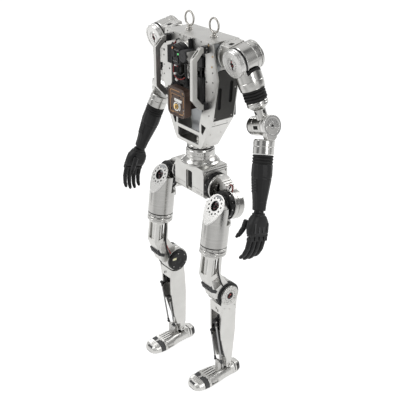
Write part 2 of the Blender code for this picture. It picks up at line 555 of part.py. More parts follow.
# black forearm: ribbed cuff, then a faceted taper to the wrist
fu, fv, fa = frame_of(FORE_D)
rings = []
for s, r1, r2 in ((0.0464, 0.0310, 0.0310), (0.0520, 0.0322, 0.0322), (0.0560, 0.0300, 0.0300), (0.0620, 0.0318, 0.0318), (0.0660, 0.0298, 0.0298), (0.0720, 0.0314, 0.0314),
                  (0.0760, 0.0325, 0.0320), (0.1050, 0.0345, 0.0310), (0.1500, 0.0290, 0.0260), (0.1950, 0.0235, 0.0200), (0.2150, 0.0225, 0.0190)):
    rings.append([FORE_O + fa * s + fu * (r1 * math.cos(2 * math.pi * (k + 0.5) / 16)) + fv * (r2 * math.sin(2 * math.pi * (k + 0.5) / 16)) for k in range(16)])
pair(loft(rings), "forearm", "hand", "forearm_yaw")

# palm: flattened block from the wrist to the knuckles
rings = []
for s, hw, ht in ((0.0035, 0.0200, 0.0160), (0.0120, 0.0250, 0.0190), (0.0300, 0.0360, 0.0200), (0.0550, 0.0400, 0.0180), (0.0700, 0.0390, 0.0150)):
    rings.append([WRIST + HAND_D * s + hand_w * (hw * math.copysign(abs(math.cos(t)) ** 0.7, math.cos(t))) + hand_n * (ht * math.copysign(abs(math.sin(t)) ** 0.7, math.sin(t)))
                  for t in [2 * math.pi * (k + 0.5) / 12 for k in range(12)]])
palm = loft(rings)
pair(palm, "palm", "hand", "wrist")

# four curled fingers on one knuckle bar
fingers = cyl(KNUCKLE, hand_w, 0.0085, -0.0360, 0.0360, 12)
for off, scale in ((-0.0285, 0.86), (-0.0095, 0.97), (0.0095, 1.0), (0.0285, 0.93)):
    base = KNUCKLE + hand_w * off
    pts, ang, here = [base], 14.0, base.copy()
    for seg_len, bend in ((0.036 * scale, 0), (0.027 * scale, 20), (0.022 * scale, 22)):
        ang += bend
        here = here + (HAND_D * math.cos(math.radians(ang)) + hand_n * math.sin(math.radians(ang))) * seg_len
        pts.append(here.copy())
    rings = []
    for i, p in enumerate(pts):
        d = (pts[min(i + 1, 3)] - pts[max(i - 1, 0)]).normalized()
        nn = hand_w.cross(d).normalized()
        r = (0.0084, 0.0080, 0.0070, 0.0042)[i]
        rings.append([p + hand_w * (r * math.cos(2 * math.pi * k / 8)) + nn * (r * math.sin(2 * math.pi * k / 8)) for k in range(8)])
    union(fingers, loft(rings))
pair(fingers, "fingers", "hand", "wrist_fingers")

rings = []
here, ang = THUMB.copy(), 16.0
for i, (seg_len, r) in enumerate(((0.0, 0.0095), (0.026, 0.0088), (0.024, 0.0078), (0.016, 0.0045))):
    ang += 14 if i > 1 else 0
    d = HAND_D * math.cos(math.radians(ang)) + (hand_n * 0.85 + hand_w * 0.53).normalized() * math.sin(math.radians(ang))
    here = here + d * seg_len
    nn = hand_w.cross(d).normalized()
    rings.append([here + hand_w * (r * math.cos(2 * math.pi * k / 8)) + nn * (r * math.sin(2 * math.pi * k / 8)) for k in range(8)])
pair(loft(rings), "thumb", "hand", "wrist_thumb")

bpy.context.view_layer.update()
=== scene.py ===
"""Looks for the humanoid robot kit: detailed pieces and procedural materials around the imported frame."""
import json
import math

import bpy
import bmesh
from mathutils import Matrix, Vector

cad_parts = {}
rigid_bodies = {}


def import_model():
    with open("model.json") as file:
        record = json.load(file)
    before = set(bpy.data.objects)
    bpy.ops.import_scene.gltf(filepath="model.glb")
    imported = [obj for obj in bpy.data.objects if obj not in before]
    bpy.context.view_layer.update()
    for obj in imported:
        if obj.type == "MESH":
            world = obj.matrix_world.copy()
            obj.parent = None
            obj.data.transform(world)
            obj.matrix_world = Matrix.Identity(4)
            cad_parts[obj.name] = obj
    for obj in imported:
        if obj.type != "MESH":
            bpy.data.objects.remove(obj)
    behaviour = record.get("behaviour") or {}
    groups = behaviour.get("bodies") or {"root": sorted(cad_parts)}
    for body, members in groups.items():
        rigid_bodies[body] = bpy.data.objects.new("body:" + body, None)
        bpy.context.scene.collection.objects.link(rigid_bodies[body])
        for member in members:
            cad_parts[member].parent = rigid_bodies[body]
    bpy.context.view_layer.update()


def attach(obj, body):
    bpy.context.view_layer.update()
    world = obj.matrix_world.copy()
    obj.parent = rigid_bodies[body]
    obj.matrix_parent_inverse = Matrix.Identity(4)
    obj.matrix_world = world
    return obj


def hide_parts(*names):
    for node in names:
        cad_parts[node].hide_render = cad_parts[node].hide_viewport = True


for old in list(bpy.data.objects):
    bpy.data.objects.remove(old, do_unlink=True)
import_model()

OFF = Vector((0.0, 0.043, -0.018))          # design frame to row frame
SOLE = 0.0180
TOP_Z, RING_TOP_Z, FRONT_Y = 1.2405, 1.300, -0.0525
WAIST_Y, WAIST_Z, HIP_Z = -0.004, 0.870, 0.752
ROLL_O = Vector((0.1557, -0.0652, 0.7241))
ROLL_A = Vector((0, -0.983, 0.181)).normalized()
FLANGE_N = Vector((0, -0.83, 0.56)).normalized()
THIGH_A = Vector((0.0, 0.122, 0.9925)).normalized()
YAW_O = Vector((0.1529, -0.0677, 0.5717))
KNEE = Vector((0.150, -0.021, 0.384))
ANKLE = Vector((0.140, 0.0, 0.070))
SHOULDER = Vector((0.12, 0.0, 1.200))
SR_O = Vector((0.2012, 0.0, 1.2015))
SR_A = Vector((0, -0.972, -0.234)).normalized()
ARM_D = Vector((0.28, 0.194, -0.941)).normalized()
ELBOW = Vector((0.260, 0.041, 1.003))
ELBOW_A = Vector((0.9597, -0.0333, 0.2787)).normalized()
FORE_O = Vector((0.2743, 0.0282, 0.9664))
WRIST = Vector((0.3276, -0.0315, 0.7620))
FORE_D = (WRIST - FORE_O).normalized()
KNUCKLE = Vector((0.3463, -0.0533, 0.6833))
HAND_D = (KNUCKLE - WRIST).normalized()
HAND_N = (Vector((-1, 0, 0)) - HAND_D * Vector((-1, 0, 0)).dot(HAND_D)).normalized()
HAND_W = HAND_N.cross(HAND_D).normalized()
if HAND_W.y > 0:
    HAND_W.negate()
THUMB = WRIST + HAND_D * 0.028 + HAND_W * 0.022 + HAND_N * 0.0270
CRANK_A, PIN_A = Vector((0.160, -0.034, 0.289)), Vector((0.160, -0.0627, 0.280))
CRANK_B, PIN_B = Vector((0.131, -0.030, 0.232)), Vector((0.131, -0.0526, 0.2236))
FOOT_A, FOOT_B = Vector((0.158, -0.034, 0.093)), Vector((0.122, -0.034, 0.091))
X, Y, Z = Vector((1, 0, 0)), Vector((0, 1, 0)), Vector((0, 0, 1))


# ================================================================== camera, floor, light
def camera():
    cam = bpy.data.cameras.new("camera")
    o = bpy.data.objects.new("camera", cam)
    bpy.context.scene.collection.objects.link(o)
    back = Vector((0.7152, -0.5446, 0.4380)).normalized()
    r = Vector((0.6058, 0.7956, 0)).normalized()
    u = back.cross(r).normalized()
    m = Matrix((r, u, back)).transposed().to_4x4()
    m.translation = Vector((1.87365, -1.43293, 1.81503)) + OFF
    o.matrix_world = m
    cam.sensor_width, cam.lens = 36.0, 69.13
    cam.clip_start, cam.clip_end = 0.05, 60
    bpy.context.scene.camera = o


def area(name, at, target, size, size_y, power, tint=(1, 1, 1)):
    d = bpy.data.lights.new(name, "AREA")
    d.shape, d.size, d.size_y, d.energy, d.color = "RECTANGLE", size, size_y, power, tint
    o = bpy.data.objects.new(name, d)
    bpy.context.scene.collection.objects.link(o)
    o.location = at
    o.rotation_mode = "QUATERNION"
    o.rotation_quaternion = (Vector(target) - Vector(at)).to_track_quat("-Z", "Y")
    return o


def studio():
    w = bpy.data.worlds.new("studio")
    bpy.context.scene.world = w
    w.use_nodes = True
    nt = w.node_tree
    bg = nt.nodes["Background"]
    tc = nt.nodes.new("ShaderNodeTexCoord")
    sep = nt.nodes.new("ShaderNodeSeparateXYZ")
    nt.links.new(tc.outputs["Generated"], sep.inputs[0])

    def band(fac, first, last, mids):
        ramp = nt.nodes.new("ShaderNodeValToRGB")
        nt.links.new(fac, ramp.inputs[0])
        e = ramp.color_ramp.elements
        e[0].position, e[0].color = 0.0, (first, first, first, 1)
        e[1].position, e[1].color = 1.0, (last, last, last, 1)
        for pos, v in mids:
            k = ramp.color_ramp.elements.new(pos)
            k.color = (v, v, v, 1)
        return ramp.outputs[0]
    turn = nt.nodes.new("ShaderNodeMath")
    turn.operation = "ARCTAN2"
    nt.links.new(sep.outputs["Y"], turn.inputs[0])
    nt.links.new(sep.outputs["X"], turn.inputs[1])
    unit = nt.nodes.new("ShaderNodeMapRange")
    unit.inputs["From Min"].default_value, unit.inputs["From Max"].default_value = -math.pi, math.pi
    nt.links.new(turn.outputs[0], unit.inputs["Value"])
    # soft boxes either side of the lens, dark flags beside them, a pale wall behind the object
    around = band(unit.outputs["Result"], 0.80, 0.80, ((0.06, 0.45), (0.095, 1.0), (0.135, 1.05), (0.175, 0.22), (0.225, 0.22), (0.265, 1.15), (0.300, 1.15), (0.340, 0.26), (0.43, 0.28), (0.500, 0.95), (0.560, 1.10), (0.610, 0.20), (0.68, 0.20), (0.76, 0.75), (0.896, 1.0)))
    height = band(sep.outputs["Z"], 0.95, 1.0, ((0.08, 0.85), (0.22, 0.70), (0.42, 0.95), (0.70, 1.0)))
    mul = nt.nodes.new("ShaderNodeMix")
    mul.data_type, mul.blend_type = "RGBA", "MULTIPLY"
    mul.inputs["Factor"].default_value = 1.0
    nt.links.new(around, mul.inputs["A"])
    nt.links.new(height, mul.inputs["B"])
    nt.links.new(mul.outputs["Result"], bg.inputs["Color"])
    bg.inputs["Strength"].default_value = 1.0
    area("key", (-1.6, -2.6, 3.0), (0, 0, 0.7), 1.6, 1.6, 38)
    area("right_strip", (3.0, -0.2, 2.2), (0, 0, 0.7), 0.7, 2.2, 26)
    area("back_top", (0.4, 2.4, 2.8), (0, 0, 0.8), 1.8, 1.2, 30)
    area("left_strip", (-2.8, 0.6, 1.6), (0, 0, 0.7), 0.7, 2.0, 18)
    s = bpy.context.scene
    s.view_settings.view_transform = "Standard"
    s.view_settings.look = "None"
    s.view_settings.exposure = 0.0


def ground():
    bpy.ops.mesh.primitive_plane_add(size=40, location=(0, 0, -0.0002))
    o = bpy.context.object
    o.name = "floor"
    m = bpy.data.materials.new("glowing_floor_painted_light")
    m.use_nodes = True
    nt = m.node_tree
    b = nt.nodes["Principled BSDF"]
    # the floor glows: painted light, paler around the object and falling off to a darker band towards the front so the
    # metal has something dark to mirror
    tc = nt.nodes.new("ShaderNodeTexCoord")
    dot = nt.nodes.new("ShaderNodeVectorMath")
    dot.operation = "DOT_PRODUCT"
    dot.inputs[1].default_value = (0.796, -0.606, 0.0)
    nt.links.new(tc.outputs["Object"], dot.inputs[0])
    fall = nt.nodes.new("ShaderNodeMapRange")
    fall.inputs["From Min"].default_value, fall.inputs["From Max"].default_value = -2.0, 4.0
    nt.links.new(dot.outputs["Value"], fall.inputs["Value"])
    ramp = nt.nodes.new("ShaderNodeValToRGB")
    nt.links.new(fall.outputs["Result"], ramp.inputs[0])
    e = ramp.color_ramp.elements
    e[0].position, e[0].color = 0.0, (0.86, 0.86, 0.86, 1)
    e[1].position, e[1].color = 1.0, (0.55, 0.55, 0.55, 1)
    for t, v in ((0.42, 0.84), (0.62, 0.62), (0.85, 0.44), (1.35, 0.42), (1.75, 0.66), (2.4, 0.74)):
        k = ramp.color_ramp.elements.new((t + 2.0) / 6.0)
        k.color = (v, v, v, 1)
    nt.links.new(ramp.outputs[0], b.inputs["Emission Color"])
    b.inputs["Base Color"].default_value = (0.30, 0.30, 0.30, 1)
    b.inputs["Emission Strength"].default_value = 1.0
    b.inputs["Roughness"].default_value = 0.9
    b.inputs["Specular IOR Level"].default_value = 0.1
    o.data.materials.append(m)


camera()
studio()
ground()


# ================================================================== materials
def _nodes(name):
    m = bpy.data.materials.new(name)
    m.use_nodes = True
    nt = m.node_tree
    return m, nt, nt.nodes["Principled BSDF"]


def _noise(nt, vec, scale, detail=2.0, rough=0.5):
    n = nt.nodes.new("ShaderNodeTexNoise")
    n.inputs["Scale"].default_value = scale
    n.inputs["Detail"].default_value = detail
    n.inputs["Roughness"].default_value = rough
    nt.links.new(vec, n.inputs["Vector"])
    return n.outputs["Fac"]


def _range(nt, val, lo, hi, a=0.25, b=0.75):
    r = nt.nodes.new("ShaderNodeMapRange")
    r.inputs["From Min"].default_value, r.inputs["From Max"].default_value = a, b
    r.inputs["To Min"].default_value, r.inputs["To Max"].default_value = lo, hi
    nt.links.new(val, r.inputs["Value"])
    return r.outputs["Result"]


def _mixcol(nt, fac, a, b):
    n = nt.nodes.new("ShaderNodeMix")
    n.data_type = "RGBA"
    n.inputs["A"].default_value = (*a, 1)
    n.inputs["B"].default_value = (*b, 1)
    nt.links.new(fac, n.inputs["Factor"])
    return n.outputs["Result"]


def _math(nt, op, a, b):
    n = nt.nodes.new("ShaderNodeMath")
    n.operation = op
    for i, v in enumerate((a, b)):
        if isinstance(v, (int, float)):
            n.inputs[i].default_value = v
        else:
            nt.links.new(v, n.inputs[i])
    return n.outputs[0]


def _bump(nt, b, height, strength, distance):
    n = nt.nodes.new("ShaderNodeBump")
    n.inputs["Strength"].default_value = strength
    n.inputs["Distance"].default_value = distance
    nt.links.new(height, n.inputs["Height"])
    nt.links.new(n.outputs[0], b.inputs["Normal"])


def metal(name, base, rough, axis=None, var=0.05, grain=0.35, streak=0.5, worn=0.0):
    """Aluminium or steel: cloudy tone, fine blast or turning marks, a few rubbed patches. axis is the turning axis."""
    m, nt, b = _nodes(name)
    tc = nt.nodes.new("ShaderNodeTexCoord").outputs["Object"]
    cloud = _noise(nt, tc, 22.0, 4.0, 0.6)
    fine = _noise(nt, tc, 1400.0, 2.0, 0.7)
    height = fine
    tone = cloud
    if axis is not None:
        dot = nt.nodes.new("ShaderNodeVectorMath")
        dot.operation = "DOT_PRODUCT"
        dot.inputs[1].default_value = tuple(axis)
        nt.links.new(tc, dot.inputs[0])
        s1 = nt.nodes.new("ShaderNodeTexNoise")
        s1.noise_dimensions = "1D"
        s1.inputs["Scale"].default_value = 620.0
        s1.inputs["Detail"].default_value = 3.0
        s1.inputs["Roughness"].default_value = 0.75
        nt.links.new(dot.outputs["Value"], s1.inputs["W"])
        s2 = nt.nodes.new("ShaderNodeTexNoise")
        s2.noise_dimensions = "1D"
        s2.inputs["Scale"].default_value = 150.0
        s2.inputs["Detail"].default_value = 2.0
        nt.links.new(dot.outputs["Value"], s2.inputs["W"])
        height = _math(nt, "ADD", _math(nt, "MULTIPLY", s1.outputs["Fac"], streak), _math(nt, "MULTIPLY", fine, 0.3))
        tone = _math(nt, "ADD", _math(nt, "MULTIPLY", s2.outputs["Fac"], 0.5), _math(nt, "MULTIPLY", cloud, 0.5))
    col = _mixcol(nt, _range(nt, tone, 0.0, 1.0, 0.3, 0.7), [c * (1 - var) for c in base], [min(1, c * (1 + var)) for c in base])
    nt.links.new(col, b.inputs["Base Color"])
    b.inputs["Metallic"].default_value = 1.0
    smudge = _noise(nt, tc, 45.0, 5.0, 0.65)
    nt.links.new(_range(nt, _math(nt, "ADD", _math(nt, "MULTIPLY", smudge, 0.65), _math(nt, "MULTIPLY", height, 0.35)), rough - 0.03, rough + 0.05, 0.3, 0.7), b.inputs["Roughness"])
    _bump(nt, b, height, grain * 0.35, 0.00006)
    return m


def plastic(name, base, rough, light=None, grain=0.5, scale=1100.0, metallic=0.0, distance=0.0002):
    """Moulded or painted surface: fine texture, dusty patches, slightly rubbed edges."""
    m, nt, b = _nodes(name)
    tc = nt.nodes.new("ShaderNodeTexCoord").outputs["Object"]
    fine = _noise(nt, tc, scale, 3.0, 0.6)
    patch = _noise(nt, tc, 30.0, 5.0, 0.65)
    light = light or [min(1, c * 1.55 + 0.004) for c in base]
    geo = nt.nodes.new("ShaderNodeNewGeometry")
    edge = _range(nt, geo.outputs["Pointiness"], 0.0, 0.6, 0.53, 0.60)
    fac = _math(nt, "ADD", _range(nt, patch, 0.0, 0.35, 0.35, 0.75), edge)
    nt.links.new(_mixcol(nt, fac, base, light), b.inputs["Base Color"])
    b.inputs["Metallic"].default_value = metallic
    if max(base) < 0.08 and not metallic:
        b.inputs["Specular IOR Level"].default_value = 0.30
    nt.links.new(_range(nt, _math(nt, "ADD", _math(nt, "MULTIPLY", patch, 0.6), _math(nt, "MULTIPLY", fine, 0.4)), rough - 0.07, rough + 0.10, 0.3, 0.7), b.inputs["Roughness"])
    _bump(nt, b, fine, grain, distance)
    return m


def glow(name, base, strength):
    m, nt, b = _nodes(name)
    b.inputs["Base Color"].default_value = (*base, 1)
    b.inputs["Emission Color"].default_value = (*base, 1)
    b.inputs["Emission Strength"].default_value = strength
    b.inputs["Roughness"].default_value = 0.3
    return m


ALU = (0.60, 0.595, 0.575)
M = {
    "alu": metal("satin_aluminium", ALU, 0.36),
    "alu2": metal("bead_blasted_aluminium", (0.53, 0.525, 0.51), 0.46, grain=0.6),
    # the darker grey aluminium below is painted shade on the shoulder flanges' side faces; it is also used for the
    # spine column and the thigh spigot
    "bright": metal("machined_aluminium", (0.66, 0.655, 0.64), 0.26),
    "grey": metal("grey_and_painted_shade_aluminium", (0.36, 0.37, 0.38), 0.40),
    "steel": metal("eyebolt_steel", (0.42, 0.405, 0.38), 0.26),
    "screw": metal("screw_steel", (0.55, 0.54, 0.52), 0.28),
    "brass": metal("brass_screw", (0.62, 0.46, 0.26), 0.30),
    "gold": metal("gold_cap", (0.86, 0.58, 0.22), 0.24, axis=(0, 1, 0)),
    "copper": metal("copper", (0.72, 0.36, 0.22), 0.32),
    "panel": plastic("dark_panel_paint", (0.036, 0.035, 0.032), 0.50, grain=0.35),
    "black": plastic("black_moulding", (0.007, 0.007, 0.0075), 0.38),
    "soft": plastic("black_rubber", (0.007, 0.007, 0.007), 0.62, grain=0.7),
    "hand": plastic("glove_black", (0.0085, 0.0085, 0.009), 0.46, grain=0.8, scale=700.0),
    "charcoal": plastic("charcoal_moulding", (0.030, 0.030, 0.031), 0.50),
    "bumper": plastic("foot_rubber", (0.060, 0.060, 0.061), 0.62, grain=0.8),
    # the near-black below paints shade in hole bottoms, bores, slots, window floors and gaps, and on the liners and
    # cores inside the torso and feet; it also colours the pelvis side bolts
    "hole": plastic("black_and_painted_shade", (0.003, 0.003, 0.003), 0.7),
    "box": plastic("bronze_paint", (0.060, 0.036, 0.026), 0.42, light=(0.085, 0.052, 0.038), metallic=0.25),
    # the bronze at half brightness below is painted shade, used for the back plate and stalk behind the control case
    "box_painted_shade": plastic("bronze_painted_shade", (0.030, 0.018, 0.014), 0.45),
    "trace": metal("copper_trace", (0.46, 0.26, 0.12), 0.36),
    "red": plastic("red_lead", (0.20, 0.020, 0.020), 0.40),
    "maroon": plastic("maroon_lead", (0.085, 0.022, 0.026), 0.45),
    "wire": plastic("black_lead", (0.014, 0.014, 0.014), 0.42),
    "white": plastic("white_moulding", (0.72, 0.72, 0.70), 0.42, light=(0.80, 0.80, 0.78)),
    "green": glow("green_lamp", (0.10, 0.55, 0.16), 0.5),
    "yellow": plastic("pale_label", (0.80, 0.76, 0.46), 0.45, light=(0.85, 0.82, 0.55)),
}
TURNED = {}
BRUSHED = (0.51, 0.505, 0.488)


def turned(axis, base=BRUSHED, rough=0.27, key="turned"):
    a = tuple(round(c, 4) for c in Vector(axis).normalized())
    k = (key, a, base, rough)
    if k not in TURNED:
        TURNED[k] = metal(f"{key}_{len(TURNED)}", base, rough * 0.78, axis=a, grain=0.55, streak=1.0, var=0.06)
    return TURNED[k]


# ================================================================== mesh building
def obj(verts, faces, name="m"):
    bm = bmesh.new()
    vs = [bm.verts.new(v) for v in verts]
    for f in faces:
        try:
            bm.faces.new([vs[i] for i in f])
        except ValueError:
            pass
    bmesh.ops.recalc_face_normals(bm, faces=bm.faces)
    me = bpy.data.meshes.new(name)
    bm.to_mesh(me)
    bm.free()
    o = bpy.data.objects.new(name, me)
    bpy.context.scene.collection.objects.link(o)
    return o


def frame_of(axis, ref=None):
    a = Vector(axis).normalized()
    if ref is None:
        ref = Z if abs(a.z) < 0.9 else Y
    u = Vector(ref).cross(a).normalized()
    return u, a.cross(u).normalized(), a


def prism(poly, axis, lo, hi):
    def put(p, h):
        return {"x": (h, p[0], p[1]), "y": (p[0], h, p[1]), "z": (p[0], p[1], h)}[axis]
    n = len(poly)
    verts = [put(p, lo) for p in poly] + [put(p, hi) for p in poly]
    faces = [list(range(n)), list(range(n, 2 * n))[::-1]] + [[i, (i + 1) % n, n + (i + 1) % n, n + i] for i in range(n)]
    return obj(verts, faces)


def slab(poly, centre, u, v, w, lo, hi):
    """A polygon in the plane of u and v, extruded along w."""
    c = Vector(centre)
    n = len(poly)
    verts = [c + u * p[0] + v * p[1] + w * lo for p in poly] + [c + u * p[0] + v * p[1] + w * hi for p in poly]
    faces = [list(range(n)), list(range(n, 2 * n))[::-1]] + [[i, (i + 1) % n, n + (i + 1) % n, n + i] for i in range(n)]
    return obj(verts, faces)


def lathe(profile, origin, axis, seg=48, a0=0.0, a1=360.0, ref=None):
    u, v, a = frame_of(axis, ref)
    o = Vector(origin)
    full = abs(a1 - a0 - 360) < 1e-6
    n = seg if full else seg + 1
    rings, verts, faces = [], [], []
    for r, s in profile:
        if r < 1e-7:
            rings.append([len(verts)])
            verts.append(o + a * s)
        else:
            rings.append(list(range(len(verts), len(verts) + n)))
            for k in range(n):
                t = math.radians(a0) + math.radians(a1 - a0) * k / seg
                verts.append(o + a * s + u * (r * math.cos(t)) + v * (r * math.sin(t)))
    closed = profile[0][0] > 1e-7 and profile[-1][0] > 1e-7
    prs = list(zip(rings, rings[1:])) + ([(rings[-1], rings[0])] if closed else [])
    for p, q in prs:
        for k in range(seg):
            j = (k + 1) % n
            if len(p) == 1 and len(q) == 1:
                continue
            if len(p) == 1:
                faces.append([p[0], q[j], q[k]])
            elif len(q) == 1:
                faces.append([p[k], p[j], q[0]])
            else:
                faces.append([p[k], p[j], q[j], q[k]])
    if not full:
        first = [r[0] for r in rings]
        last = [r[-1] for r in rings]
        if closed:
            faces += [first, last[::-1]]
        else:
            faces += [[i for k, i in enumerate(first) if k == 0 or i != first[k - 1]], [i for k, i in enumerate(last[::-1])]]
    return obj(verts, faces)


def cyl(origin, axis, r, s0, s1, seg=40, r2=None):
    return lathe([(0, s0), (r, s0), (r if r2 is None else r2, s1), (0, s1)], origin, axis, seg)


def ring(origin, axis, r0, r1, s0, s1, seg=48):
    return lathe([(r0, s0), (r1, s0), (r1, s1), (r0, s1)], origin, axis, seg)


def box(x0, x1, y0, y1, z0, z1):
    return prism([(y0, z0), (y1, z0), (y1, z1), (y0, z1)], "x", x0, x1)


def obox(centre, u, v, w, hu, hv, hw):
    return slab([(-hu, -hv), (hu, -hv), (hu, hv), (-hu, hv)], centre, u, v, w, -hw, hw)


def loft(sections, cap=True):
    n = len(sections[0])
    verts = [Vector(p) for s in sections for p in s]
    faces = [list(range(n)), list(range((len(sections) - 1) * n, len(sections) * n))[::-1]] if cap else []
    for i in range(len(sections) - 1):
        for k in range(n):
            j = (k + 1) % n
            faces.append([i * n + k, i * n + j, (i + 1) * n + j, (i + 1) * n + k])
    return obj(verts, faces)


def torus(c, axis, R, r, n=40, m=12):
    u, v, a = frame_of(axis)
    c = Vector(c)
    verts, faces = [], []
    for i in range(n):
        t = 2 * math.pi * i / n
        d = u * math.cos(t) + v * math.sin(t)
        for j in range(m):
            p = 2 * math.pi * j / m
            verts.append(c + d * (R + r * math.cos(p)) + a * (r * math.sin(p)))
    for i in range(n):
        for j in range(m):
            faces.append([i * m + j, i * m + (j + 1) % m, ((i + 1) % n) * m + (j + 1) % m, ((i + 1) % n) * m + j])
    return obj(verts, faces)


def spline(pts, per=6):
    pts = [Vector(p) for p in pts]
    out = []
    for i in range(len(pts) - 1):
        p0, p1, p2, p3 = pts[max(i - 1, 0)], pts[i], pts[i + 1], pts[min(i + 2, len(pts) - 1)]
        for k in range(per):
            t = k / per
            out.append(0.5 * ((2 * p1) + (p2 - p0) * t + (2 * p0 - 5 * p1 + 4 * p2 - p3) * t * t + (3 * p1 - p0 - 3 * p2 + p3) * t ** 3))
    out.append(pts[-1])
    return out


def tube(pts, r, seg=10, per=6):
    """A round lead along a smooth curve through the points."""
    path = spline(pts, per)
    d = (path[1] - path[0]).normalized()
    u, v, _ = frame_of(d)
    secs = []
    for i, p in enumerate(path):
        t = (path[min(i + 1, len(path) - 1)] - path[max(i - 1, 0)]).normalized()
        u = (u - t * u.dot(t)).normalized()
        v = t.cross(u).normalized()
        secs.append([p + u * (r * math.cos(2 * math.pi * k / seg)) + v * (r * math.sin(2 * math.pi * k / seg)) for k in range(seg)])
    return loft(secs)


def join(*objs):
    """Puts several closed shells into one object."""
    objs = [o for o in objs if o is not None]
    base = objs[0]
    bm = bmesh.new()
    for o in objs:
        bm.from_mesh(o.data)
    bm.to_mesh(base.data)
    bm.free()
    for o in objs[1:]:
        bpy.data.objects.remove(o, do_unlink=True)
    return base


def boolean(a, b, op):
    m = a.modifiers.new("b", "BOOLEAN")
    m.operation, m.object, m.solver = op, b, "EXACT"
    bpy.context.view_layer.update()
    dg = bpy.context.evaluated_depsgraph_get()
    me = bpy.data.meshes.new_from_object(a.evaluated_get(dg))
    a.modifiers.clear()
    a.data = me
    bpy.data.objects.remove(b, do_unlink=True)
    return a


def cut(a, *more):
    for b in more:
        boolean(a, b, "DIFFERENCE")
    return a


def union(a, *more):
    for b in more:
        boolean(a, b, "UNION")
    return a


def keep(a, b):
    return boolean(a, b, "INTERSECT")


def mirror(o):
    me = o.data.copy()
    me.transform(Matrix.Scale(-1, 4, X))
    me.flip_normals()
    m = bpy.data.objects.new(o.name + "_m", me)
    bpy.context.scene.collection.objects.link(m)
    return m


PIECES = []


def done(o, name, body, mat, nodes=(), slot=None, bevel=0.0008, seg=2, angle=28, flat=False):
    """Finishes a piece: fine rounded edges, smooth shading, material, and the body it rides on."""
    o.name = name
    o.data.name = name
    o.data.materials.clear()
    o.data.materials.append(M[mat] if isinstance(mat, str) else mat)
    for p in o.data.polygons:
        p.material_index = 0
    if bevel:
        b = o.modifiers.new("edges", "BEVEL")
        b.width, b.segments, b.limit_method, b.angle_limit = bevel, seg, "ANGLE", math.radians(angle)
        b.use_clamp_overlap = True
        bpy.context.view_layer.update()
        me = bpy.data.meshes.new_from_object(o.evaluated_get(bpy.context.evaluated_depsgraph_get()))
        o.modifiers.clear()
        o.data = me
        me.name = name
    if not flat:
        o.data.shade_smooth()
        o.data.set_sharp_from_angle(angle=math.radians(40))
        w = o.modifiers.new("normals", "WEIGHTED_NORMAL")
        w.keep_sharp = True
    o.location = OFF
    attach(o, body)
    if nodes:
        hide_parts(*([nodes] if isinstance(nodes, str) else nodes))
    PIECES.append(o)
    return o


def both(o, name, body, mat, nodes=(), slot=None, mat_r=None, **k):
    """A left piece and its right-hand twin."""
    other = mirror(o)
    ns = [nodes] if isinstance(nodes, str) else list(nodes)
    done(o, name + "_left", body + "_left", mat, [n + "_left" for n in ns], slot, **k)
    done(other, name + "_right", body + "_right", mat_r or mat, [n + "_right" for n in ns], slot, **k)


def twin(o, name, body, mat, nodes=(), slot=None, mat_r=None, **k):
    """Like both, but the two pieces ride on one body."""
    other = mirror(o)
    ns = [nodes] if isinstance(nodes, str) else list(nodes)
    done(o, name + "_left", body, mat, [n + "_left" for n in ns], slot, **k)
    done(other, name + "_right", body, mat_r or mat, [n + "_right" for n in ns], slot, **k)


def mx(v):
    return Vector((-v[0], v[1], v[2]))


def circle_pts(c, axis, r, n, phase=0.0, s=0.0):
    u, v, a = frame_of(axis)
    return [Vector(c) + a * s + u * (r * math.cos(2 * math.pi * (k + phase) / n)) + v * (r * math.sin(2 * math.pi * (k + phase) / n)) for k in range(n)]


def screws(points, axis, r=0.0022, h=0.0012, seg=14):
    """Socket heads: a low ring with a sunk round socket."""
    out = []
    for p in points:
        out.append(lathe([(0, -0.0004), (r, -0.0004), (r, h * 0.7), (r * 0.85, h), (r * 0.52, h), (r * 0.50, h * 0.25), (0, h * 0.25)], p, axis, seg))
    return join(*out)


def dots(points, axis, r, depth, seg=16):
    return join(*[cyl(p, axis, r, -depth, depth, seg) for p in points])


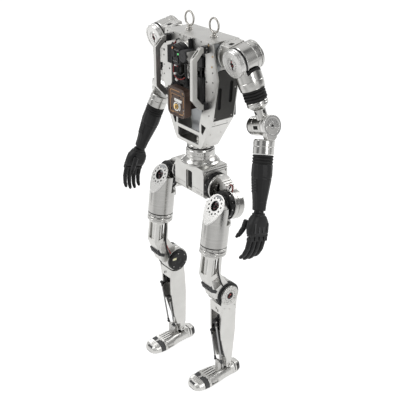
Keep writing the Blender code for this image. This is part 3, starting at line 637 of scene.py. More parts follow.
# ================================================================== torso
def torso():
    B = "torso"
    half = [(0.1205, TOP_Z), (0.147, 1.130), (0.121, 0.994), (0.074, 0.899), (0.063, 0.886)]
    outline = half + [(-x, z) for x, z in reversed(half)]
    front = prism(outline, "y", FRONT_Y, FRONT_Y + 0.006)
    # chest opening: the right strip has a rounded lower end, the left one runs down behind the grab handle
    chest = [(-0.0900, 1.1960), (-0.0840, 1.2030), (0.0820, 1.2030), (0.0880, 1.1970), (0.0880, 1.0620), (0.0900, 1.0400), (0.066, 1.003), (0.057, 0.968), (0.057, 0.941),
             (-0.060, 0.941), (-0.060, 0.968), (-0.068, 1.003), (-0.0960, 1.0400), (-0.1120, 1.0470), (-0.1130, 1.0540), (-0.1040, 1.0560), (-0.0960, 1.0600), (-0.0900, 1.0700)]
    cut(front, prism(chest, "y", -0.07, -0.03))
    cut(front, prism([(-0.058, 0.929), (0.053, 0.929), (0.053, 0.897), (0.040, 0.897), (-0.045, 0.897), (-0.058, 0.903)], "y", -0.07, -0.03))
    for s in (1, -1):
        cut(front, prism([(s * 0.067, 0.972), (s * 0.091, 0.967), (s * 0.074, 0.938), (s * 0.067, 0.942)], "y", -0.07, -0.03))
    # small holes along the top band and down both strips
    holes = [(-0.1083, 1.2340, 2.0), (-0.0768, 1.2340, 2.0), (-0.0417, 1.2335, 1.9), (-0.0212, 1.2335, 1.9), (-0.0098, 1.2335, 1.6), (0.0117, 1.2335, 1.9), (0.0229, 1.2335, 1.9),
             (0.0325, 1.2335, 1.6), (0.0659, 1.2335, 2.0), (0.1015, 1.2335, 2.2), (-0.1100, 1.2238, 2.6), (-0.042, 1.2188, 1.8), (-0.0231, 1.2195, 1.6), (0.0339, 1.2192, 1.8),
             (-0.1300, 1.1691, 2.9), (-0.1312, 1.1514, 1.8), (-0.1311, 1.1204, 1.8), (-0.1317, 1.0895, 1.8), (-0.101, 1.1137, 2.2), (0.0935, 1.1155, 2.5),
             (0.1236, 1.1501, 1.8), (0.1239, 1.1205, 1.8), (0.1243, 1.0906, 1.8), (0.1180, 1.0560, 1.8), (-0.1180, 1.0100, 1.8), (0.1060, 1.0100, 1.8)]
    cut(front, join(*[cyl((x, FRONT_Y - 0.002, z), Y, r * 1.4 / 1000, 0, 0.0060, 14) for x, z, r in holes]))
    notch = prism([(-0.1500, 1.1313), (-0.1400, 1.1313), (-0.1385, 1.1250), (-0.1385, 1.1120), (-0.1400, 1.1071), (-0.1500, 1.1071)], "y", -0.07, -0.04)
    cut(front, notch)
    done(front, "front_plate", B, "alu", "front_frame", "satin_aluminium", bevel=0.0007)
    # near-black discs at the hole bottoms: painted shade
    done(join(*[cyl((x, FRONT_Y + 0.0018, z), Y, r * 1.4 / 1000 * 0.96, 0, 0.0012, 12) for x, z, r in holes]), "front_hole_floors", B, "hole", slot="black_plastic", bevel=0)
    done(screws([(0.1195, FRONT_Y, 1.1676), (0.1222, FRONT_Y, 1.1999), (0.1025, FRONT_Y, 1.2300), (-0.1240, FRONT_Y, 1.2000)], -Y, 0.0030, 0.0014), "front_brass_screws", B, "brass", slot="gold_button", bevel=0)
    # folded flanges behind the plate's edges; the flanges' darker grey is painted shade on their side faces
    for s, n in ((1, "left"), (-1, "right")):
        fl = prism([(-0.0463, 1.1510), (-0.0290, 1.1510), (-0.0240, 1.1600), (-0.0240, 1.2320), (-0.0290, 1.2355), (-0.0463, 1.2355)], "x", *sorted((s * 0.1200, s * 0.1238)))
        cut(fl, join(*[cyl((s * 0.12, y, z), X, 0.0018, -0.01, 0.01, 12) for y, z in ((-0.036, 1.170), (-0.036, 1.195), (-0.036, 1.222))]))
        done(fl, "shoulder_flange_" + n, B, "grey", slot="satin_aluminium")
        rim = slab([(0, 0), (0.0022, 0), (0.0022, 0.030), (0, 0.030)], (s * 0.1206, FRONT_Y + 0.0062, 1.1200), X * s, Z, Y, 0, 0.0075)
        done(rim, "edge_clip_" + n, B, "alu2", slot="satin_aluminium")

    # top plate with a dimple and sunk screws along its edges
    top = box(-0.1195, 0.1195, FRONT_Y + 0.0064, 0.0530, 1.2360, TOP_Z)
    pts = [(0.0, -0.005), (-0.1080, 0.0430), (0.1080, 0.0430), (-0.1080, -0.0380), (0.1080, -0.0380), (0.0, 0.0440), (-0.040, 0.0440), (0.040, 0.0440)]
    cut(top, join(*[cyl((x, y, TOP_Z - 0.0012), Z, 0.0021, 0, 0.01, 14) for x, y in pts]))
    done(top, "top_cover", B, "alu", "top_plate", "satin_aluminium", bevel=0.0008)
    done(dots([(x, y, TOP_Z - 0.0011) for x, y in pts[1:]], Z, 0.0018, 0.0006, 12), "top_screw_floors", B, "screw", slot="eyebolt_steel", bevel=0)

    # back cover: bent sheet with louvres and a row of screws
    stations = [(1.2356, 0.0530, 0.1195), (1.0960, 0.0530, 0.1195), (0.9940, 0.0370, 0.1195), (0.8870, 0.0200, 0.0630)]
    secs = []
    for i in range(len(stations) - 1):
        for k in range(8 if i else 6):
            t = k / (8 if i else 6)
            a, b = stations[i], stations[i + 1]
            z, y, w = (a[j] + (b[j] - a[j]) * t for j in range(3))
            secs.append([(-w, y, z), (w, y, z), (w, y - 0.004, z), (-w, y - 0.004, z)])
    z, y, w = stations[-1]
    secs.append([(-w, y, z), (w, y, z), (w, y - 0.004, z), (-w, y - 0.004, z)])
    back = loft(secs)
    cut(back, join(*[box(-0.045, 0.045, 0.03, 0.07, 1.115 + 0.018 * k, 1.121 + 0.018 * k) for k in range(5)]))
    done(back, "back_panel", B, "alu", "back_cover", "satin_aluminium", bevel=0.0008)
    lou = [slab([(-0.0450, 0), (0.0450, 0), (0.0440, 0.0090), (-0.0440, 0.0090)], (0, 0.0532, 1.1140 + 0.018 * k), X, (Z * 0.86 + Y * 0.5).normalized(), (Y * 0.86 - Z * 0.5).normalized(), -0.0009, 0.0003) for k in range(5)]
    done(join(*lou), "back_louvres", B, "alu2", slot="satin_aluminium", bevel=0.0003)
    scr = [(sx * 0.1120, 0.0530, z) for sx in (1, -1) for z in (1.228, 1.180, 1.140, 1.104)] + [(sx * 0.060, 0.0530, z) for sx in (1, -1) for z in (1.228, 1.104)]
    done(screws(scr, Y, 0.0026, 0.0013), "back_screws", B, "screw", slot="eyebolt_steel", bevel=0)
    # service hatch low on the back, with its screws
    n = Vector((0, 0.102, 0.016)).normalized()
    n = Vector((0, 0.9879, -0.155)).normalized()
    hatch = slab([(-0.062, -0.034), (0.062, -0.034), (0.062, 0.034), (-0.062, 0.034)], (0, 0.0455, 1.046), X, n.cross(X).normalized() * -1, n, -0.0010, 0.0016)
    done(hatch, "back_hatch", B, "alu2", slot="satin_aluminium", bevel=0.0010)
    done(screws([Vector((sx * 0.056, 0.0455, 1.046)) + (n.cross(X) * -1).normalized() * sz * 0.028 + n * 0.0016 for sx in (1, -1) for sz in (1, -1)], n, 0.0024, 0.0012), "hatch_screws", B, "screw", slot="eyebolt_steel", bevel=0)

    # dark side panels: two round-ended slots, fasteners, and the closing gap along the front edge
    def slot_cut(y0, z0, y1, z1, w):
        d = Vector((0, y1 - y0, z1 - z0))
        return [obox((0.117, (y0 + y1) / 2, (z0 + z1) / 2), d.normalized(), X.cross(d.normalized()), X, d.length / 2, w, 0.01), cyl((0, y0, z0), X, w, 0.10, 0.13, 28), cyl((0, y1, z1), X, w, 0.10, 0.13, 28)]
    panel = prism([(-0.0461, 0.9950), (0.0325, 0.9950), (0.0485, 1.0960), (0.0485, 1.1500), (-0.0461, 1.1500)], "x", 0.1150, 0.1190)
    cut(panel, *slot_cut(-0.0230, 1.0330, -0.0195, 1.0900, 0.0066), *slot_cut(0.0215, 1.0500, 0.0260, 1.1060, 0.0066))
    twin(panel, "side_cover", B, "panel", "side_panel", "dark_panel", bevel=0.0007)
    sc = screws([(0.1190, -0.0400, 1.0020), (0.1190, 0.0260, 1.0020), (0.1190, 0.0400, 1.0900), (0.1190, -0.0400, 1.1430), (0.1190, 0.0420, 1.1430)], X, 0.0024, 0.0012)
    twin(sc, "side_screws", B, "screw", slot="eyebolt_steel", bevel=0)
    # near-black liner inside the side panel: painted shade behind its slots and front gap
    gap = box(0.1120, 0.1148, -0.0461, 0.0480, 0.9960, 1.2350)
    twin(gap, "side_liner", B, "hole", slot="black_plastic", bevel=0.0004)
    up = prism([(-0.0235, 1.1515), (0.0485, 1.1515), (0.0485, 1.2355), (-0.0235, 1.2355)], "x", 0.1155, 0.1190)
    twin(up, "shoulder_side_plate", B, "alu2", slot="satin_aluminium")

    # folded lower shell with its creases and edge screws
    outer = [(-0.1203, 0.9935), (-0.0655, 0.8868), (0.0655, 0.8868), (0.1203, 0.9935)]
    inner = [(-0.1160, 0.9935), (-0.0628, 0.8905), (0.0628, 0.8905), (0.1160, 0.9935)]
    rear = lambda z: 0.0155 + (z - 0.8868) / (0.9935 - 0.8868) * 0.0165
    loop = outer + inner[::-1]
    shell = loft([[(x, -0.0461, z) for x, z in loop], [(x, rear(z), z) for x, z in loop]])
    cut(shell, cyl((0, WAIST_Y, 0.87), Z, 0.0156, 0, 0.05, 40))
    done(shell, "lower_cover", B, "alu", "lower_shell", "satin_aluminium", bevel=0.0012)
    nrm = Vector((0.1067, 0, -0.0548)).normalized()
    dn = Vector((-0.0548, 0, -0.1067)).normalized()
    pl = [Vector((0.1203, y, 0.9935)) + dn * t for y, t in ((-0.036, 0.012), (-0.036, 0.060), (-0.036, 0.104), (0.012, 0.012), (0.006, 0.060))]
    twin(screws(pl, nrm, 0.0022, 0.0010), "lower_cover_screws", B, "screw", slot="eyebolt_steel", bevel=0)
    seam = slab([(-0.0440, 0), (0.0200, 0), (0.0200, 0.0016), (-0.0440, 0.0016)], Vector((0.1203, 0, 0.9935)) + dn * 0.0215, Y, dn, nrm, -0.0010, 0.0003)
    twin(seam, "lower_cover_seam", B, "hole", slot="black_plastic", bevel=0)

    # waist collar on the torso, the column and the cross tube
    col = lathe([(0, 0.8706), (0.0430, 0.8706), (0.0450, 0.8726), (0.0450, 0.8780), (0.0432, 0.8798), (0.0432, 0.8812), (0.0440, 0.8820), (0.0430, 0.8854), (0.0150, 0.8854), (0.0150, 0.905), (0, 0.905)], (0, WAIST_Y, 0), Z, 72)
    done(col, "torso_collar", B, turned(Z, key="collar"), "torso_spine", "satin_aluminium", bevel=0.0005)
    sl = [obox(p, (p - Vector((0, WAIST_Y, p.z))).normalized(), Z.cross((p - Vector((0, WAIST_Y, p.z))).normalized()), Z, 0.0006, 0.0052, 0.0015) for p in circle_pts((0, WAIST_Y, 0.8754), Z, 0.0450, 12, 0.5)]
    done(join(*sl), "collar_slots", B, "hole", slot="black_plastic", bevel=0.0002)
    done(box(-0.028, 0.028, -0.020, 0.012, 0.905, 1.220), "spine_column", B, "grey", slot="satin_aluminium", bevel=0.002)
    done(cyl((0, 0, 1.2), X, 0.034, -0.1148, 0.1148, 56), "shoulder_cross_tube", B, turned(X, (0.5, 0.5, 0.49), 0.34, "tube"), slot="satin_aluminium", bevel=0.001)
    # near-black sheet behind the chest opening: painted shade for the chest's interior
    done(box(-0.1100, 0.1100, 0.0200, 0.0236, 0.9960, 1.1560), "chest_back_liner", B, "hole", slot="black_plastic", bevel=0.0005)

    # grab handles: flat bar bent twice, milled slots in both bends, black stand-offs
    outer_p = [(-0.0700, 1.226), (-0.0815, 1.226), (-0.1125, 1.1945), (-0.1125, 1.0680), (-0.0815, 1.033), (-0.0700, 1.033)]
    inner_p = [(-0.0700, 1.050), (-0.0745, 1.050), (-0.0945, 1.0745), (-0.0945, 1.1870), (-0.0745, 1.209), (-0.0700, 1.209)]
    grip = prism(outer_p + inner_p, "x", 0.0895, 0.1025)
    dd = Vector((0, -0.0310, -0.0315)).normalized()
    nn = Vector((0, -0.0315, 0.0310)).normalized()
    mid = Vector((0.096, -0.0970, 1.21025))
    oval = [(0.0036 * math.cos(math.radians(a)), (0.0105 if 0 < a < 180 else -0.0105) + 0.0036 * math.sin(math.radians(a))) for a in range(0, 360, 20)]
    cut(grip, slab(oval, mid, X, dd, nn, -0.0100, 0.0100))
    dd2 = Vector((0, -0.0310, 0.0350)).normalized()
    nn2 = Vector((0, -0.0350, -0.0310)).normalized()
    cut(grip, slab([(x * 0.75, y * 0.55) for x, y in oval], Vector((0.096, -0.0970, 1.0505)), X, dd2, nn2, -0.0040, 0.0100))
    twin(grip, "grab_handle_bar", B, "alu", "grab_handle", "satin_aluminium", bevel=0.0022, seg=3)
    st = join(box(0.0880, 0.1040, -0.0698, -0.0527, 1.2065, 1.2285), box(0.0880, 0.1040, -0.0698, -0.0527, 1.0300, 1.0525), box(0.0905, 0.1015, -0.0780, -0.0698, 1.2020, 1.2088))
    twin(st, "grab_handle_mounts", B, "black", slot="black_plastic", bevel=0.0014)
    twin(screws([(0.0960, -0.0820, 1.2262), (0.1042, -0.0610, 1.2120), (0.1042, -0.0610, 1.2230)], X, 0.0020, 0.0012), "handle_mount_screws", B, "screw", slot="eyebolt_steel", bevel=0)

    # lifting eyes
    rc = RING_TOP_Z - 0.0218 - 0.0032
    eye = torus((0.0624, 0, rc), Y, 0.0218, 0.0032, 56, 14)
    sh = lathe([(0, TOP_Z + 0.0003), (0.0100, TOP_Z + 0.0003), (0.0105, TOP_Z + 0.0012), (0.0105, 1.2440), (0.0095, 1.2452), (0.0062, 1.2466), (0.0052, 1.2500), (0.0060, 1.2535), (0.0040, 1.2560), (0, 1.2565)], (0.0624, 0, 0), Z, 36)
    twin(join(eye, sh), "lifting_eye", B, "steel", "eyebolt", "eyebolt_steel", bevel=0.0003)
    nut = lathe([(0.0070, TOP_Z + 0.0002), (0.0125, TOP_Z + 0.0002), (0.0132, TOP_Z + 0.0012), (0.0125, TOP_Z + 0.0022), (0.0070, TOP_Z + 0.0022)], (0.0624, 0, 0), Z, 36)
    twin(nut, "lifting_eye_washer", B, "screw", slot="eyebolt_steel", bevel=0)


def chest():
    B = "torso"
    # battery pack behind the left handle: ribbed black case with a grey shoe at its foot and a plug on top
    bat = prism([(0.036, -0.0600), (0.0380, -0.062), (0.0745, -0.062), (0.084, -0.0535), (0.084, 0.0185), (0.036, 0.0185)], "z", 1.044, 1.126)
    cut(bat, join(*[box(0.0460 + 0.008 * k, 0.0482 + 0.008 * k, -0.0635, -0.0612, 1.052, 1.120) for k in range(3)]))
    done(bat, "battery_case", B, "black", "battery_pack", "black_plastic", bevel=0.0016)
    done(join(box(0.0370, 0.0790, -0.0550, -0.0380, 1.0300, 1.0436), box(0.0400, 0.0700, -0.0520, -0.0400, 1.0180, 1.0300)), "battery_shoe", B, "charcoal", slot="black_plastic", bevel=0.002)
    done(join(box(0.0560, 0.0800, -0.0600, -0.0440, 1.1560, 1.1880), box(0.0610, 0.0710, -0.0615, -0.0500, 1.1450, 1.1570), box(0.0640, 0.0668, -0.0560, -0.0520, 1.1265, 1.1450)), "battery_plug", B, "black", slot="black_plastic", bevel=0.0014)
    done(box(0.0740, 0.0860, -0.0445, -0.0400, 1.0500, 1.1880), "battery_bracket", B, "alu2", slot="satin_aluminium")
    done(join(tube([(0.0760, -0.0600, 1.1600), (0.0800, -0.0620, 1.1350), (0.0790, -0.0600, 1.1150), (0.0800, -0.0560, 1.0950)], 0.0014)), "battery_lead", B, "wire", slot="black_rubber", bevel=0)
    # controller behind the right handle
    ctrl = prism([(-0.0835, -0.050), (-0.036, -0.050), (-0.036, 0.0185), (-0.0835, 0.0185)], "z", 1.044, 1.158)
    done(ctrl, "controller_case", B, "panel", "controller_unit", "dark_panel", bevel=0.0015)
    fins = [box(-0.0800 + 0.0055 * k, -0.0775 + 0.0055 * k, -0.0555, -0.0500, 1.050, 1.152) for k in range(8)]
    done(join(*fins), "controller_fins", B, "black", slot="black_plastic", bevel=0.0004)
    done(join(box(-0.0905, -0.0840, -0.0480, -0.0380, 1.0700, 1.1900), box(-0.0720, -0.0420, -0.0470, -0.0380, 1.1620, 1.1680)), "controller_bracket", B, "alu2", slot="satin_aluminium")

    # driver module: round black housing, fins on its left, disc on its right, silver back shell
    c = Vector((-0.012, 0, 1.1835))
    shell = lathe([(0, 0.0350), (0.0365, 0.0350), (0.0380, 0.0380), (0.0380, 0.0590), (0.0350, 0.0620), (0, 0.0620)], c, -Y, 64)
    done(shell, "driver_back_shell", B, turned(Y, key="shell"), slot="satin_aluminium", bevel=0.0008)
    can = lathe([(0, 0.0622), (0.0345, 0.0622), (0.0345, 0.0800), (0.0325, 0.0830), (0.0325, 0.0880), (0.0290, 0.0915), (0.0240, 0.0915), (0.0232, 0.0895), (0.0160, 0.0895), (0.0150, 0.0915), (0.0060, 0.0915), (0.0045, 0.0900), (0, 0.0900)], c, -Y, 64)
    done(can, "driver_can", B, "black", "driver_module", "black_plastic", bevel=0.0006)
    fins = [box(-0.0505 + 0.0068 * k, -0.0470 + 0.0068 * k, -0.0955, -0.0640, 1.1530, 1.2080) for k in range(4)]
    done(join(*fins, box(-0.0500, -0.0270, -0.0850, -0.0640, 1.1560, 1.2050)), "driver_fins", B, "charcoal", slot="black_plastic", bevel=0.0008)
    blk = join(box(-0.0200, 0.0060, -0.0955, -0.0900, 1.1600, 1.1790), box(-0.0150, 0.0120, -0.0945, -0.0900, 1.1960, 1.2060), box(-0.0260, -0.0170, -0.0950, -0.0900, 1.1760, 1.2000),
               box(0.0060, 0.0150, -0.0930, -0.0880, 1.1640, 1.1860), box(-0.0060, 0.0030, -0.0958, -0.0900, 1.1800, 1.1930), box(-0.0180, -0.0120, -0.0948, -0.0900, 1.1800, 1.1940))
    done(blk, "driver_connectors", B, "black", slot="black_plastic", bevel=0.0006)
    pins = [cyl((-0.0170 + 0.0045 * k, -0.0957, 1.1660), -Y, 0.0009, 0, 0.0010, 10) for k in range(5)] + [cyl((-0.0120 + 0.0045 * k, -0.0947, 1.2010), -Y, 0.0009, 0, 0.0010, 10) for k in range(5)]
    done(join(*pins), "driver_pins", B, "screw", slot="eyebolt_steel", bevel=0)
    disc = lathe([(0, 0.0560), (0.0178, 0.0560), (0.0190, 0.0575), (0.0190, 0.0940), (0.0175, 0.0955), (0.0110, 0.0955), (0.0105, 0.0948), (0.0030, 0.0948), (0.0026, 0.0955), (0, 0.0955)], (0.0270, 0, 1.1870), -Y, 48)
    done(disc, "driver_encoder", B, "charcoal", slot="black_plastic", bevel=0.0006)
    done(box(0.0035, 0.0095, -0.0962, -0.0935, 1.1870, 1.1925), "driver_lamp", B, "green", slot="black_plastic", bevel=0.0005)
    done(cyl((-0.0230, -0.0930, 1.2040), -Y, 0.0032, 0, 0.0028, 20), "driver_copper_stud", B, "copper", slot="gold_button", bevel=0.0004)
    done(screws([(0.0450, -0.0880, 1.1960), (0.0440, -0.0880, 1.1830)], -Y, 0.0030, 0.0030), "driver_studs", B, "screw", slot="eyebolt_steel", bevel=0)
    done(box(0.0400, 0.0490, -0.0880, -0.0560, 1.1760, 1.2020), "driver_bracket", B, "alu2", slot="satin_aluminium")
    # slotted near-black rail above the disc, seen through the chest opening's top: painted shade for the dark slot
    # there
    done(join(box(0.0160, 0.0265, -0.0640, -0.0535, 1.1980, 1.2300), box(0.0180, 0.0245, -0.0660, -0.0535, 1.2280, 1.2350)), "driver_rail", B, "hole", slot="black_plastic", bevel=0.0012)
    # silver drum and black strap to the right of the module
    dr = lathe([(0, 0.0100), (0.0290, 0.0100), (0.0310, 0.0130), (0.0310, 0.0500), (0.0285, 0.0535), (0.0120, 0.0535), (0.0110, 0.0520), (0, 0.0520)], (0.0130, 0, 1.1310), -Y, 56)
    done(dr, "chest_drum", B, turned(Y, key="drum"), slot="satin_aluminium", bevel=0.0008)
    done(tube([(0.0120, -0.0700, 1.1720), (0.0080, -0.0680, 1.1560), (0.0040, -0.0640, 1.1300), (0.0040, -0.0620, 1.1000), (0.0080, -0.0640, 1.0800)], 0.0042, 12), "chest_trunk_lead", B, "wire", slot="black_rubber", bevel=0)
    done(join(box(-0.0330, 0.0340, -0.0600, -0.0240, 1.0820, 1.0980), box(-0.0300, 0.0340, -0.0500, -0.0240, 1.0400, 1.0830), box(0.0120, 0.0340, -0.0580, -0.0300, 1.0980, 1.1180)), "chest_power_board", B, "black", slot="black_plastic", bevel=0.0012)
    # leads: dark red and black, looping below the module
    red = [[(-0.0430, -0.0660, 1.2180), (-0.0455, -0.0720, 1.2080), (-0.0470, -0.0700, 1.1980)],
           [(-0.0400, -0.0740, 1.1480), (-0.0430, -0.0780, 1.1300), (-0.0360, -0.0800, 1.1140), (-0.0200, -0.0800, 1.1040), (-0.0020, -0.0760, 1.1050), (0.0060, -0.0700, 1.1120)],
           [(-0.0370, -0.0720, 1.1500), (-0.0300, -0.0780, 1.1430), (-0.0240, -0.0740, 1.1420)]]
    done(join(*[tube(p, 0.0017, 10, 8) for p in red]), "chest_leads_red", B, "red", slot="black_rubber", bevel=0)
    blk = [[(-0.0400, -0.0700, 1.1500), (-0.0400, -0.0760, 1.1200), (-0.0260, -0.0780, 1.1000), (-0.0060, -0.0720, 1.0940), (0.0080, -0.0640, 1.0960)],
           [(-0.0280, -0.0700, 1.1450), (-0.0220, -0.0780, 1.1250), (-0.0060, -0.0760, 1.1160), (0.0040, -0.0680, 1.1260)],
           [(-0.0200, -0.0660, 1.1460), (-0.0100, -0.0740, 1.1280), (-0.0180, -0.0720, 1.1100), (-0.0060, -0.0660, 1.1000)],
           [(-0.0480, -0.0640, 1.2080), (-0.0420, -0.0660, 1.2200), (-0.0320, -0.0620, 1.2260)]]
    done(join(*[tube(p, 0.0021, 10, 8) for p in blk]), "chest_leads_black", B, "wire", slot="black_rubber", bevel=0)
    wh = [obox((-0.0330, -0.0790, 1.1180), X, Y, Z, 0.0040, 0.0030, 0.0030), obox((-0.0220, -0.0815, 1.1010), (X * 0.8 - Z * 0.6).normalized(), Y, (Z * 0.8 + X * 0.6).normalized(), 0.0048, 0.0028, 0.0028), obox((-0.0300, -0.0790, 1.1450), X, Y, Z, 0.0036, 0.0030, 0.0026)]
    done(join(*wh), "chest_connectors", B, "white", slot="satin_aluminium", bevel=0.0006)

    # control box: chamfered brown case with a raised rim, inlaid copper border, plate, keyed button and screws
    cx, c0, c1, w, ch = 0.004, 0.991, 1.085, 0.0455, 0.013

    def octo(inset, cc=None):
        k = ch - inset * 0.58 if cc is None else cc
        a, b, cxx = c0 + inset, c1 - inset, w - inset
        out = []
        for (px, pz, qx, qz) in ((cx - cxx, a + k, cx - cxx + k, a), (cx + cxx - k, a, cx + cxx, a + k), (cx + cxx, b - k, cx + cxx - k, b), (cx - cxx + k, b, cx - cxx, b - k)):
            mxx, mz = (px + qx) / 2, (pz + qz) / 2
            corner = {0: (cx - cxx, a), 1: (cx + cxx, a), 2: (cx + cxx, b), 3: (cx - cxx, b)}[len(out) // 4]
            bulge = 0.28
            out += [(px, pz), ((px * 2 + qx) / 3 + (corner[0] - mxx) * bulge, (pz * 2 + qz) / 3 + (corner[1] - mz) * bulge), ((px + qx * 2) / 3 + (corner[0] - mxx) * bulge, (pz + qz * 2) / 3 + (corner[1] - mz) * bulge), (qx, qz)]
        return out
    case = prism(octo(0), "y", -0.1030, -0.0800)
    cut(case, prism(octo(0.0052), "y", -0.11, -0.1008))
    cut(case, cyl((0.006, 0, 1.025), Y, 0.0125, -0.12, -0.0930, 40))
    done(case, "control_case", B, "box", "control_box", "bronze_box", bevel=0.0016, seg=3)
    # back plate and stalk in half-bright bronze: painted shade behind the case
    done(prism(octo(0.0010), "y", -0.0799, -0.0770), "control_case_back", B, "box_painted_shade", slot="bronze_box", bevel=0.001)
    done(box(-0.024, 0.024, -0.0770, -0.0240, 1.010, 1.060), "control_stalk", B, "box_painted_shade", slot="bronze_box", bevel=0.001)
    bord = prism(octo(0.0095), "y", -0.1012, -0.1004)
    cut(bord, prism(octo(0.0118), "y", -0.11, -0.09))
    cut(bord, box(0.020, 0.032, -0.11, -0.09, 1.065, 1.090), box(-0.012, 0.016, -0.11, -0.09, 0.985, 1.005), box(0.0300, 0.0600, -0.11, -0.09, 1.0180, 1.0260))
    done(bord, "control_border", B, "trace", slot="gold_button", bevel=0.0002)
    b2 = join(box(-0.0240, 0.0270, -0.1010, -0.1004, 1.0610, 1.0622), box(-0.0240, -0.0228, -0.1010, -0.1004, 1.0450, 1.0610), box(0.0270, 0.0282, -0.1010, -0.1004, 1.0540, 1.0622), box(-0.0200, 0.0140, -0.1010, -0.1004, 1.0040, 1.0051))
    done(b2, "control_inner_traces", B, "trace", slot="gold_button", bevel=0.0001)
    done(prism([(-0.0060, 1.0500), (-0.0060, 1.0410), (0.0300, 1.0395), (0.0325, 1.0485)], "y", -0.1030, -0.1004), "control_plate", B, "white", slot="satin_aluminium", bevel=0.0006)
    keyr = ring((0.006, 0, 1.025), -Y, 0.0108, 0.0150, 0.1000, 0.1042, 48)
    done(keyr, "button_bezel", B, "bright", slot="satin_aluminium", bevel=0.0005)
    arc = lathe([(0.0165, 0.1004), (0.0195, 0.1004), (0.0195, 0.1036), (0.0165, 0.1036)], (0.006, 0, 1.025), -Y, 30, -40, 70)
    done(arc, "button_guard", B, "white", slot="satin_aluminium", bevel=0.0005)
    done(cyl((0.006, 0, 1.025), -Y, 0.0120, 0.0931, 0.0936, 32), "button_well", B, "hole", slot="black_plastic", bevel=0)
    cs = [(0.0417, -0.1008, 1.0197), (0.0440, -0.1008, 1.0100), (0.0413, -0.1008, 0.9985), (-0.0340, -0.1008, 1.0000), (-0.0340, -0.1008, 1.0760), (0.0420, -0.1008, 1.0760)]
    done(screws(cs, -Y, 0.0024, 0.0016), "control_screws", B, "screw", slot="eyebolt_steel", bevel=0)
    done(join(*[cyl((x, -0.1006, z), -Y, 0.0022, 0, 0.0012, 16) for x, z in ((0.0400, 1.0660), (-0.0200, 1.0560), (0.0180, 1.0560), (-0.0260, 1.0100))]), "control_dimples", B, "hole", slot="black_plastic", bevel=0)
    # the gold button: domed cap, half of it a black pointer, and its skirt
    cap = lathe([(0, 0.0966), (0.0092, 0.0966), (0.0092, 0.1068), (0.0084, 0.1080), (0.0040, 0.1085), (0, 0.1085)], (0.006, 0, 1.025), -Y, 48)
    done(cap, "button_cap", "power_button_body", "gold", "power_button", "gold_button", bevel=0.0003)
    done(lathe([(0.0, 0.1080), (0.0078, 0.1080), (0.0074, 0.1087), (0.0, 0.1088)], (0.006, 0, 1.025), -Y, 24, -80, 80), "button_pointer", "power_button_body", "black", slot="black_plastic", bevel=0)


